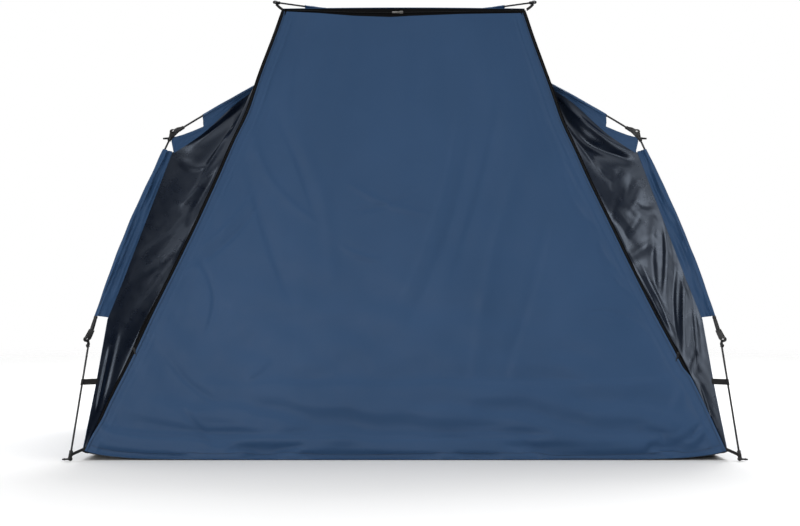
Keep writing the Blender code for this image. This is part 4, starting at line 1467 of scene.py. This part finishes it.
def turned(grid, side, end, run=LEG_X, rise=LEG_Y):
    """A grid in a leg's plane, moved into the tent."""
    turn = atan2(end * rise, side * run)
    c, s = np.cos(turn), np.sin(turn)
    x, y, z = grid[..., 0], grid[..., 1], grid[..., 2]
    return points_at(x * c - y * s, x * s + y * c, z)


def sleeve_piece(name, pole, seam, loop, webs, folds, plane, face, nodes=()):
    """Cloth wrapped round a pole, with soft folds, turned into its plane and made a piece.

    loop is the radius and how much it wanders, folds are the height, seed and number of the soft
    folds, and face is a direction that the sleeve looks.
    """
    radius, wander, seed = loop
    radius = radius + wander * ripple((len(pole), 2), 9, seed)[:, 0]
    grid = sway(wrap_grid(pole, seam, radius, SLEEVE_WEB, webs), *folds)
    grid = outward(turned(grid, *plane), face)
    sheet_piece(name, grid, shell_cloth, "shell_cloth", nodes, SLEEVE_THICK)


print("sleeves:", round(SLEEVE_THICK * 1000.0, 1), "mm thick")

# %% [markdown]
# A leg has two sleeves, one on its upper pole and one on its middle pole.  They could be copies of
# one mesh, but no two sleeves hang alike, so each gets folds of its own.  The lower one is looser
# in the middle, where it is pulled the least.

# %% Sleeves of the legs
for number, (leg, side, end) in enumerate(LEGS):
    reach = np.linspace(0.105, 0.806, 90)
    pole = np.stack([reach, upper_pole_z(reach)], -1)
    seam = np.stack([reach - 0.004, ridge_top_z(reach - 0.004) - 0.001], -1)
    sleeve_piece("roof_sleeve_" + leg, pole, seam, (0.0050, 0.0006, 100 + number), 9,
                 (0.0030, 110 + number, 8), (side, end), (0.0, 0.0, 1.0))

    height = np.linspace(1.035, 0.475, 84)
    pole = np.stack([mid_pole_x(height), height], -1)
    seam = np.stack([ridge_x(height - 0.006), height - 0.006], -1)
    loose = 0.0035 * np.sin(pi * np.linspace(0.04, 0.96, len(height)))
    sleeve_piece("wall_sleeve_" + leg, pole, seam, (0.0052 + loose, 0.0012, 120 + number), 11,
                 (0.0085, 130 + number, 4), (side, end), (side * LEG_X, end * LEG_Y, 0.0),
                 ("sleeve_" + leg,))

# %% [markdown]
# At the shoulder joint there is no sleeve, so that the joint can work.  A doubled tab of cloth
# comes from the seam to the underside of the joint instead.

# %% Shoulder tabs
TAB_THICK = 0.0018
TAB_START = 0.780
TAB_STEPS = 34
TAB_OUTER = ((0.790, 1.1255), (0.845, 1.1015), (0.880, 1.0880), (0.906, 1.0800),
             (0.921, 1.0790), (0.9215, 1.0650), (0.917, 1.0450), (0.913, 1.0300))

outer = np.array(TAB_OUTER)
run = arc_lengths(outer, 0)
spot = np.linspace(0.0, run[-1], TAB_STEPS)
outer = np.stack([np.interp(spot, run, outer[:, 0]), np.interp(spot, run, outer[:, 1])], -1)
reach = np.linspace(TAB_START, SEAM_CORNER[0] + 0.003, TAB_STEPS)
inner = np.stack([reach, ridge_top_z(reach) - 0.002], -1)
u = np.linspace(0.0, 1.0, 12)[None, :, None]
flat = inner[:, None] * (1.0 - u) + outer[:, None] * u
for number, (leg, side, end) in enumerate(LEGS):
    bulge = ripple(flat.shape[:2], 3, 140 + number) * 0.0012 * np.sin(pi * u[..., 0])
    grid = turned(points_at(flat[..., 0], TAB_THICK / 2.0 + bulge, flat[..., 1]), side, end)
    grid = outward(grid, turned(np.array([0.0, 1.0, 0.0]), side, end))
    sheet_piece("shoulder_tab_" + leg, grid, shell_cloth, "shell_cloth", (), TAB_THICK)

# %% [markdown]
# The front arms are short poles that hold the top corners of the door.  Their sleeves stop well
# before the tip, so a length of bare pole shows.

# %% Arm sleeves
ARM_REACH = float(np.hypot(*ARM_TIP[:2]))
ARM_X = ARM_TIP[0] / ARM_REACH
ARM_Y = -ARM_TIP[1] / ARM_REACH
ARM_SEAM_REACH = 0.5533


def arm_pole_z(reach):
    """The arm runs straight from the hub to its tip."""
    return HUB_POLE_Z + (ARM_TIP[2] - HUB_POLE_Z) * (reach - HUB_R) / (ARM_REACH - HUB_R)


def arm_seam_z(reach):
    """Height of the roof seam under an arm, which is straight too."""
    rise = PANEL_TOP[2] - ARM_CROWN_Z
    return ARM_CROWN_Z + rise * (reach - CROWN_R) / (ARM_SEAM_REACH - CROWN_R)


for number, (label, side) in enumerate(SIDES):
    reach = np.linspace(0.108, 0.452, 56)
    pole = np.stack([reach, arm_pole_z(reach)], -1)
    seam = np.stack([reach, arm_seam_z(reach) + 0.0005], -1)
    sleeve_piece("arm_sleeve_" + label, pole, seam, (0.0049, 0.0005, 150 + number), 7,
                 (0.0020, 160 + number, 4), (side, -1, ARM_X, ARM_Y), (0.0, 0.0, 1.0))

# %% [markdown]
# ## Zips
#
# Each side of the door has a coil zip: a woven tape on either side of the opening, each with its
# raised coil.  The outer half is sewn to the tent and stays there when the door opens, so the
# inner half is a piece of its own.

# %% Side zips
TAPE_THICK = 0.0010
COIL_PITCH = 0.0042
COIL_SWING = 0.16


def coil_shape(path, side, radius):
    """A raised coil: a round bar whose radius swings as a sine along its length."""
    swing = 1.0 + COIL_SWING * np.sin(2.0 * pi * arc_lengths(path, 0) / COIL_PITCH)
    return sweep(path, round_profile(1.0, 8), side, radius * swing)


def zip_half(name, side, band, lift, coil_at, shade_fill=0.0):
    """Half of a side zip: a flat tape beside the door's edge, and its coil.

    band is how far outside the edge the tape starts and ends, coil_at is how far outside and in
    front of it the coil runs, and the last number is the share of the open zip's gap that the tape
    is widened over, a black strip of painted shade.
    """
    share = np.linspace(0.004, 0.997, 150)
    near = door_line(side, share, band[0], lift)
    far = door_line(side, share, band[1] + shade_fill * shaded_zip_gap(side, share), lift)
    u = np.linspace(0.0, 1.0, 5)[None, :, None]
    tape = outward(near[:, None] * (1.0 - u) + far[:, None] * u, FACING)
    path = door_line(side, np.linspace(0.004, 0.994, 900), *coil_at)
    coil = coil_shape(path, (1.0, 0.0, 0.0), 0.0016)
    return build(name, [(zip_tape, [cloth(tape, TAPE_THICK)]), (zip_coil, [coil])])


for label, side in SIDES:
    outer_band = (0.0046, ZIP_EDGE + 0.002)
    # The outer tape is widened over the whole open gap of the zip: its black there is painted
    # shade.
    piece = zip_half("zip_band_" + label, side, outer_band, 0.0004, (0.0066, 0.0016), 1.0)
    dress(piece, "tent", "zip_tape", "zip_" + label)
    half = zip_half("door_tape_" + label, side, (-0.0060, 0.0044), 0.0006, (0.0036, 0.0018))
    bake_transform(half)
    print("zip", label, "has", len(piece.data.polygons) + len(half.data.polygons), "faces")

# %% [markdown]
# The top zip is a band of tape between the small roof and the door, with one coil along its
# middle.  Its lower edge follows the door's top edge, which hangs a little in the middle.

# %% Top zip
TOP_COIL_R = 0.0015

top_x = np.linspace(-PANEL_TOP[0] + 0.001, PANEL_TOP[0] - 0.001, 120)
top_low = np.interp(top_x, TOP_EDGE_X, TOP_EDGE_Z) - 0.003
top_high = PANEL_TOP[2] + 0.0020 * np.sin(pi * (top_x + 0.42) / 0.84)
level = np.linspace(0.0, 1.0, 7)[:, None]
z = top_high[None, :] * (1.0 - level) + top_low[None, :] * level
tape = outward(points_at(top_x, door_y(z) + 0.0012, z), FACING)
coil_z = (top_high + top_low) / 2.0
fine_x = np.linspace(top_x[0] + 0.006, top_x[-1] - 0.006, 500)
fine_z = np.interp(fine_x, top_x, coil_z)
coil_path = points_at(fine_x, door_y(fine_z) - 0.0006, fine_z)
coil = coil_shape(coil_path, (0.0, 0.0, 1.0), TOP_COIL_R)
piece = build("zip_band_top", [(zip_tape, [cloth(tape, TAPE_THICK)]), (zip_coil, [coil])])
dress(piece, "tent", "zip_tape", "zip_top")
print("top zip has", len(piece.data.polygons), "faces")

# %% [markdown]
# A slider is a small cast body that bridges the coil, with a loop and a flat pull that hangs
# from it.  Sides and ends are rounded, so it is a stack of plates with soft edges.


# %% Sliders
def rounded_box_outline(width, height, radius, steps=6):
    """A rectangle in the XZ plane with round corners."""
    turn = np.linspace(0.0, 0.5 * pi, steps)
    points = []
    for k, (sx, sz) in enumerate(((1, 1), (-1, 1), (-1, -1), (1, -1))):
        centre = np.array([sx * (width / 2.0 - radius), sz * (height / 2.0 - radius)])
        angle = turn + k * 0.5 * pi
        points.append(centre + radius * np.stack([np.cos(angle), np.sin(angle)], -1))
    return np.concatenate(points)


def placed(shape, centre, lean, roll):
    """The shape rolled in its own plane, leaned back from the upright, and set at a point."""
    points, quads, caps, uv = shape
    c, s = np.cos(roll), np.sin(roll)
    points = points @ np.array([[c, 0.0, s], [0.0, 1.0, 0.0], [-s, 0.0, c]])
    c, s = np.cos(lean), np.sin(lean)
    points = points @ np.array([[1.0, 0.0, 0.0], [0.0, c, -s], [0.0, s, c]])
    return points + np.array(centre), quads, caps, uv


DOOR_LEAN = atan2(PANEL_TOP[1] - HINGE_Y, PANEL_TOP[2] - HEM_R)


def slider_shapes(centre, roll, pull_roll):
    """Body, bridge and pull of one slider; the pull hangs from the bridge at its own angle."""
    body = plate(rounded_box_outline(0.0100, 0.0135, 0.0030), 0.0022)
    bridge = plate(rounded_box_outline(0.0035, 0.0095, 0.0012), 0.0040, 0.0009)
    tab = rounded_box_outline(0.0060, 0.0300, 0.0028) - np.array([0.0, 0.0170])
    pull = moved(plate(tab, 0.0009, 0.0005), by=(0.0, -0.0046, 0.0))
    return [placed(shape, centre, -DOOR_LEAN, angle)
            for shape, angle in ((body, roll), (bridge, roll), (pull, pull_roll))]


for label, side, share, roll in (("left", -1, 0.780, 0.42), ("right", 1, 0.790, -0.42)):
    centre = door_line(side, np.array([share]), 0.0070, 0.0030)[0]
    piece = build("slider_" + label, [(black_nylon, slider_shapes(centre, roll, roll * 0.6))])
    dress(piece, "tent", "zip_tape")

slider_z = float(np.interp(0.0, top_x, coil_z)) + 0.001
centre = (-0.012, door_y(slider_z) - 0.0012, slider_z)
piece = build("slider_top", [(slider_grey, slider_shapes(centre, pi / 2.0, -pi / 2.0))])
dress(piece, "tent", "zip_tape")
print("sliders: 3, the top one at z", round(slider_z, 3))

# %% [markdown]
# ## Frame
#
# The poles are thin glass-fibre rods with a lacquered skin.  Every joint is moulded nylon with a
# steel rivet or pin.  Each is drawn once in the plane of a leg, where reach is measured from the
# hub's axis, and then turned into the four planes.

# %% Outlines and sockets
POLE_SOCKET = 0.0058
LIP_SHARE = (0.0, 0.03, 0.10, 0.17, 0.20, 0.26, 0.29, 0.60, 0.90, 0.97, 1.0)
LIP_RELIEF = (-0.0010, -0.0002, 0.0004, 0.0003, -0.0004, -0.0004, 0.0, 0.0, 0.0, -0.0002, -0.0009)


def arc(centre, radius, start, stop, steps=14):
    """Points of an arc in the plane of a leg, from one angle to another."""
    angle = np.linspace(start, stop, steps, endpoint=abs(stop - start - 2.0 * pi) > 1e-9)
    return [(centre[0] + radius * np.cos(a), centre[1] + radius * np.sin(a)) for a in angle]


def socket(start, stop, mouth, root):
    """A round socket: a rolled lip at its mouth, a groove, a neck and a thicker root."""
    share = np.array(LIP_SHARE)
    radius = mouth + (root - mouth) * share + np.array(LIP_RELIEF)
    flat = between(np.array(start, float), np.array(stop, float), share)
    return rod(points_at(flat[:, 0], 0.0, flat[:, 1]), radius, sides=24)


def rivet(centre, radius, half, dome=0.0011):
    """A rivet through a joint: a pin with a domed head at each end, turned about the Y axis."""
    angle = np.linspace(0.5 * pi, 0.0, 6)
    head_y = half + dome * np.sin(angle)
    head_r = radius * np.cos(angle)
    y = np.concatenate([-head_y, [-half + 0.0004, half - 0.0004], head_y[::-1]])
    r = np.concatenate([head_r, [radius * 0.96, radius * 0.96], head_r[::-1]])
    path = points_at(centre[0], y, centre[1])
    return sweep(path, round_profile(1.0, 24), (1.0, 0.0, 0.0), np.maximum(r, 0.00005))


def pole_shape(reach, height):
    """A pole in a leg's plane."""
    return rod(points_at(reach, 0.0, height), POLE_R, sides=18)


def along(start, end, distance):
    """The point at a distance from start towards end."""
    start, end = np.array(start, float), np.array(end, float)
    return start + (end - start) / np.linalg.norm(end - start) * distance


def hook(reach, height, radius):
    """A small tapered horn of a joint, through points in a leg's plane."""
    return rod(points_at(np.array(reach), 0.0, np.array(height)), radius, sides=14)


sample = socket((0.0, 0.0), (0.03, 0.0), POLE_SOCKET, POLE_SOCKET)
print("a socket has", len(sample[1]), "faces round it")

# %% [markdown]
# A leg is three poles in a row, held by its joints.  A curve object with a round bevel would give
# the same rods.  Here a circle is carried along the formulas that the sleeves use too, so a pole
# is sure to lie inside its sleeve.

# %% Poles
reach = np.linspace(HUB_R + 0.002, UPPER_END[0] + 0.004, 40)
upper_shape = pole_shape(reach, upper_pole_z(reach))
height = np.linspace(MID_TOP[1], MID_END[1], 40)
middle_shape = pole_shape(mid_pole_x(height), height)
height = np.linspace(LOWER_TOP[1], LOWER_END[1], 12)
lower_shape = pole_shape(lower_pole_x(height), height)
print("poles:", [len(shape[0]) for shape in (upper_shape, middle_shape, lower_shape)], "points")

# %% [markdown]
# The shoulder joint is a wedge of nylon between two sockets, with a boss round its rivet and a
# small horn that keeps the cloth off it.  It could be cut from one block with booleans.  Plates
# and sockets that overlap look the same and keep their clean, rounded edges.

# %% Shoulder joint
wedge = arc(KNUCKLE_PIN, 0.0085, -0.35, 2.1)
wedge += [(0.900, 1.1120), (0.884, 1.1155), (0.886, 1.105), (0.902, 1.0895), (0.915, 1.077),
          (0.922, 1.069), (0.931, 1.071)]
upper_dir = (UPPER_END[0] + 1.0, UPPER_END[1] - 0.6135)
lower_dir = (MID_TOP[0] + 0.3057, MID_TOP[1] - 0.617)
knuckle_nylon = [
    plate(wedge, 0.0052, 0.0012),
    plate(arc(KNUCKLE_PIN, 0.0066, 0.0, 2.0 * pi, 28), 0.0062),
    socket(UPPER_END, along(UPPER_END, upper_dir, 0.036), POLE_SOCKET, 0.0066),
    socket(MID_TOP, along(MID_TOP, lower_dir, -0.026), POLE_SOCKET, 0.0066),
    hook((0.9212, 0.930, 0.944, 0.9505, 0.952), (1.0745, 1.0737, 1.0724, 1.0718, 1.0717),
         [0.0040, 0.0038, 0.0034, 0.0032, 0.0018]),
]
knuckle_steel = [rivet(KNUCKLE_PIN, 0.0042, 0.0064)]
print("shoulder joint:", len(knuckle_nylon) + len(knuckle_steel), "shapes")

# %% [markdown]
# The elbow is a fork and a tongue on one pin, so the lower pole can fold for packing.  One solid
# lump would look the same from afar, but it could not turn when the leg folds.  So the tongue is a
# piece of its own, with a small gap between it and each side of the fork.

# %% Elbow
FORK_OFFSET = 0.00515

ear = arc(ELBOW_PIN, 0.0088, -1.9, 1.15) + [(1.2105, 0.432), (1.196, 0.426), (1.2085, 0.399)]
fork_side = plate(ear, 0.00205, 0.0007)
top_dir = (MID_END[0] - 0.2303, MID_END[1] + 0.617)
elbow_nylon = [
    moved(fork_side, by=(0.0, FORK_OFFSET, 0.0)),
    moved(fork_side, by=(0.0, -FORK_OFFSET, 0.0)),
    socket(along(MID_END, top_dir, 0.030), (1.2035, 0.4290), POLE_SOCKET, 0.0070),
]
elbow_steel = [rivet(ELBOW_PIN, 0.0036, 0.0074)]
tongue = arc(ELBOW_PIN, 0.0082, -0.5, 3.3)
tongue += [(1.2105, 0.3835), (1.2108, 0.379), (1.2205, 0.379), (1.2190, 0.3868)]
elbow_tongue = [
    plate(tongue, 0.0026, 0.0006),
    socket(LOWER_TOP, (1.2181, 0.3815), POLE_SOCKET, 0.0062),
]
print("elbow:", len(elbow_nylon) + len(elbow_steel) + len(elbow_tongue), "shapes")

# %% [markdown]
# The foot is a round sole with a socket for the pole and a horn that points outwards.  The sole
# could be a cylinder, but a plate has the rounded edge of a moulded part.  The horn is a short
# tapered bar, and a thicker ring goes round it near its end.

# %% Foot
SOLE = (1.2777, 0.0072)

foot_nylon = [
    socket(along(LOWER_END, LOWER_TOP, 0.001), (lower_pole_x(0.0105), 0.0105), 0.0059, 0.0062),
    plate(arc(SOLE, 0.0070, 0.0, 2.0 * pi, 30), 0.0055, 0.0012),
    hook((SOLE[0], 1.290, 1.300, 1.3035, 1.3046), (0.0065, 0.0065, 0.0064, 0.0064, 0.0064),
         [0.0036, 0.0031, 0.0029, 0.0028, 0.0016]),
    hook((1.2945, 1.2955, 1.2975, 1.2985), 0.0065, [0.0034, 0.0038, 0.0038, 0.0034]),
]
print("foot:", len(foot_nylon), "shapes")

# %% [markdown]
# Two straps hold the cloth to each lower leg.  Each is a band of webbing that is sewn to the
# tent, goes round the pole and comes back, so the function for the sleeves makes them too.


# %% Webbing loops
def strap(height, lift, back, loop, web, thick):
    """A band from the tent's seam round the lower pole and back, as a closed sheet.

    lift is how much higher the seam is than the pole's end of the band, and back is how far the
    band starts behind the pole's axis and behind the seam.
    """
    pole = np.stack([lower_pole_x(height) - back[0], height], -1)
    seam = np.stack([ridge_x(height + lift) - back[1], height + lift], -1)
    return cloth(outward(wrap_grid(pole, seam, loop, web, 8, 15), (1.0, 0.0, 0.0)), thick)


side_loop = strap(np.linspace(0.267, 0.248, 12), 0.0, (0.0, 0.006), 0.0050, 0.0011, 0.0013)
corner_loop = strap(np.linspace(0.0250, 0.0140, 8), 0.019, (0.001, 0.010), 0.0082, 0.0010, 0.0012)
print("straps:", len(side_loop[1]) + len(corner_loop[1]), "faces on each leg")

# %% [markdown]
# Each shape was drawn once, in the plane of a leg.  A turn about the hub's axis puts it into each
# of the four planes.  What is above the elbow stays on the tent, and the rest rides on the lower
# leg, with the straps that are looped round it.


# %% Four legs
def turned_groups(groups, turn):
    """The (finish, shapes) groups of a piece, turned about the hub's axis."""
    return [(mat, [moved(shape, turn) for shape in shapes]) for mat, shapes in groups]


for leg, side, end in LEGS:
    turn = atan2(end * LEG_Y, side * LEG_X)
    lower = "lower_leg_" + leg
    for name, node, body, slot, groups in (
        ("pole_upper_", "upper_pole_", "tent", "pole", [(pole_lacquer, [upper_shape])]),
        ("shoulder_joint_", "knuckle_", "tent", "moulded_nylon",
         [(black_nylon, knuckle_nylon), (rivet_steel, knuckle_steel)]),
        ("pole_middle_", "middle_pole_", "tent", "pole", [(pole_lacquer, [middle_shape])]),
        ("elbow_fork_", "elbow_upper_", "tent", "moulded_nylon",
         [(black_nylon, elbow_nylon), (rivet_steel, elbow_steel)]),
        ("elbow_tongue_", "elbow_lower_", lower, "moulded_nylon", [(black_nylon, elbow_tongue)]),
        ("pole_lower_", "lower_pole_", lower, "pole", [(pole_lacquer, [lower_shape])]),
        ("leg_foot_", "foot_", lower, "moulded_nylon", [(black_nylon, foot_nylon)]),
        ("wall_strap_", "side_strap_", lower, "webbing", [(webbing, [side_loop])]),
        ("floor_strap_", "corner_strap_", lower, "webbing", [(webbing, [corner_loop])]),
    ):
        dress(build(name + leg, turned_groups(groups, turn)), body, slot, node + leg)
    print(leg, "leg is at", round(turn * 180.0 / pi, 1), "degrees")

# %% [markdown]
# ## Hub and arms
#
# The hub is a moulded cap that the six poles plug into.  It is a profile turned about the tent's
# axis, with a parting groove and a button on top, and it has a socket for each pole.

# %% Hub
HUB_BASE = CROWN_Z - 0.001
HUB_PROFILE = ((0.0440, 0.0), (0.0450, 0.001), (0.0450, 0.0235), (0.0444, 0.0245),
               (0.0444, 0.0262), (0.0450, 0.0272), (0.0450, 0.0375), (0.0442, 0.0405),
               (0.0420, 0.0438), (0.0380, 0.0466), (0.0320, 0.0489), (0.0250, 0.0503),
               (0.0186, 0.0509), (0.0178, 0.0500), (0.0164, 0.0500), (0.0156, 0.0512),
               (0.0120, 0.0526), (0.0060, 0.0536), (0.0008, 0.0539))
LEG_SPOKE_DROP = 0.0085


def lathe(profile, sides=64):
    """A profile of (radius, height) turned about the Z axis; both its ends are closed by caps."""
    profile = np.array(profile)
    radius, height = profile[:, :1], profile[:, 1:]
    turn = np.linspace(0.0, 2.0 * pi, sides, endpoint=False)[None, :]
    rings = points_at(radius * np.cos(turn), radius * np.sin(turn), height)
    run = arc_lengths(profile, 0)[:, None]
    return tube(rings, np.stack(np.broadcast_arrays(turn * HUB_R, run), -1))


seam_z = float(ridge_top_z(CROWN_R))
spokes = [(LEG_X * side, LEG_Y * end, LEG_SPOKE_DROP, seam_z) for _, side, end in LEGS]
spokes += [(side * ARM_X, -ARM_Y, 0.0, ARM_CROWN_Z) for _, side in SIDES]
hub_shapes = [lathe([(radius, HUB_BASE + height) for radius, height in HUB_PROFILE])]
for x, y, drop, _ in spokes:
    spoke = socket((0.0660, HUB_POLE_Z - drop), (0.036, HUB_POLE_Z), 0.0060, 0.0072)
    hub_shapes.append(moved(spoke, atan2(y, x)))
hub_piece = build("hub_cap", [(black_nylon, hub_shapes)])
dress(hub_piece, "tent", "moulded_nylon", "hub")
print("hub:", len(hub_piece.data.polygons), "faces")

# %% [markdown]
# Under the hub the sheets meet in a point, which would tear.  A reinforcing patch of cloth covers
# it, and its six corners lie on the six seams.

# %% Crown patch
PATCH_THICK = 0.0018

corners = np.array([point[1:] for point in sorted(
    (atan2(y, x), x * CROWN_R, y * CROWN_R, height) for x, y, _, height in spokes)])
share = np.linspace(0.0, 1.0, 12, endpoint=False)
ring = np.concatenate([between(a, b, share) for a, b in zip(corners, np.roll(corners, -1, 0))])
middle = np.array([0.0, 0.0, CROWN_Z + 0.001])
u = np.linspace(0.02, 1.0, 14)[:, None, None]
top = middle + (ring[None] - middle) * u + np.array([0.0, 0.0, 0.0012])
loop = np.concatenate([top, top[::-1] - np.array([0.0, 0.0, PATCH_THICK])])
crown = build("crown_patch", [(shell_cloth, [tube(loop, loop[..., :2])])])
dress(crown, "tent", "shell_cloth")
print("crown patch:", len(crown.data.polygons), "faces")

# %% [markdown]
# An arm is a straight pole with a moulded tip.  The tip has a socket, a round nose, and an eyelet
# for the strap that holds the corner of the door.

# %% Arms
tip = np.array([ARM_REACH, ARM_TIP[2]])
root = np.array([HUB_R + 0.002, HUB_POLE_Z])
collar = along(tip, root, 0.026)
arm_path = np.stack([root, along(root, tip, 0.18), along(root, tip, 0.36), collar])
nose = (tip[0] - 0.0045, tip[1])
end_cap = arc(nose, 0.0055, -0.5 * pi, 0.5 * pi, 12)
end_cap += [(tip[0] - 0.012, tip[1] + 0.0052), (tip[0] - 0.012, tip[1] - 0.0052)]
arm_groups = [
    (pole_lacquer, [pole_shape(arm_path[:, 0], arm_path[:, 1])]),
    (black_nylon, [socket(collar, along(tip, root, 0.006), 0.0056, 0.0062),
                   plate(end_cap, 0.0042, 0.0012)]),
    (rivet_steel, [rivet(nose, 0.0022, 0.0040, 0.0005)]),
]
for label, side in SIDES:
    piece = build("front_arm_" + label, turned_groups(arm_groups, atan2(-ARM_Y, side * ARM_X)))
    dress(piece, "tent", "pole", "arm_" + label)
print("arms reach", round(ARM_REACH, 3), "m from the hub's axis")

# %% [markdown]
# A short strap ties each top corner of the door to the tip of its arm.

# %% Tip straps
share = np.linspace(0.0, 1.0, 14)
sag = np.array([0.0, -0.002, -0.002]) * np.sin(pi * share)[:, None]
for label, side in SIDES:
    start = np.array([side * (ARM_TIP[0] - 0.0085), ARM_TIP[1] + 0.006, ARM_TIP[2] - 0.006])
    stop = np.array([side * (PANEL_TOP[0] + 0.006), PANEL_TOP[1] - 0.001, PANEL_TOP[2] - 0.004])
    path = between(start, stop, share) + sag
    band = sweep(path, flat_profile(0.011, 0.0016), (0.0, 0.25, 1.0))
    piece = build("tip_strap_" + label, [(webbing, [band])])
    dress(piece, "tent", "webbing")
    print("tip strap", label, round(float(np.linalg.norm(stop - start)) * 1000.0), "mm")
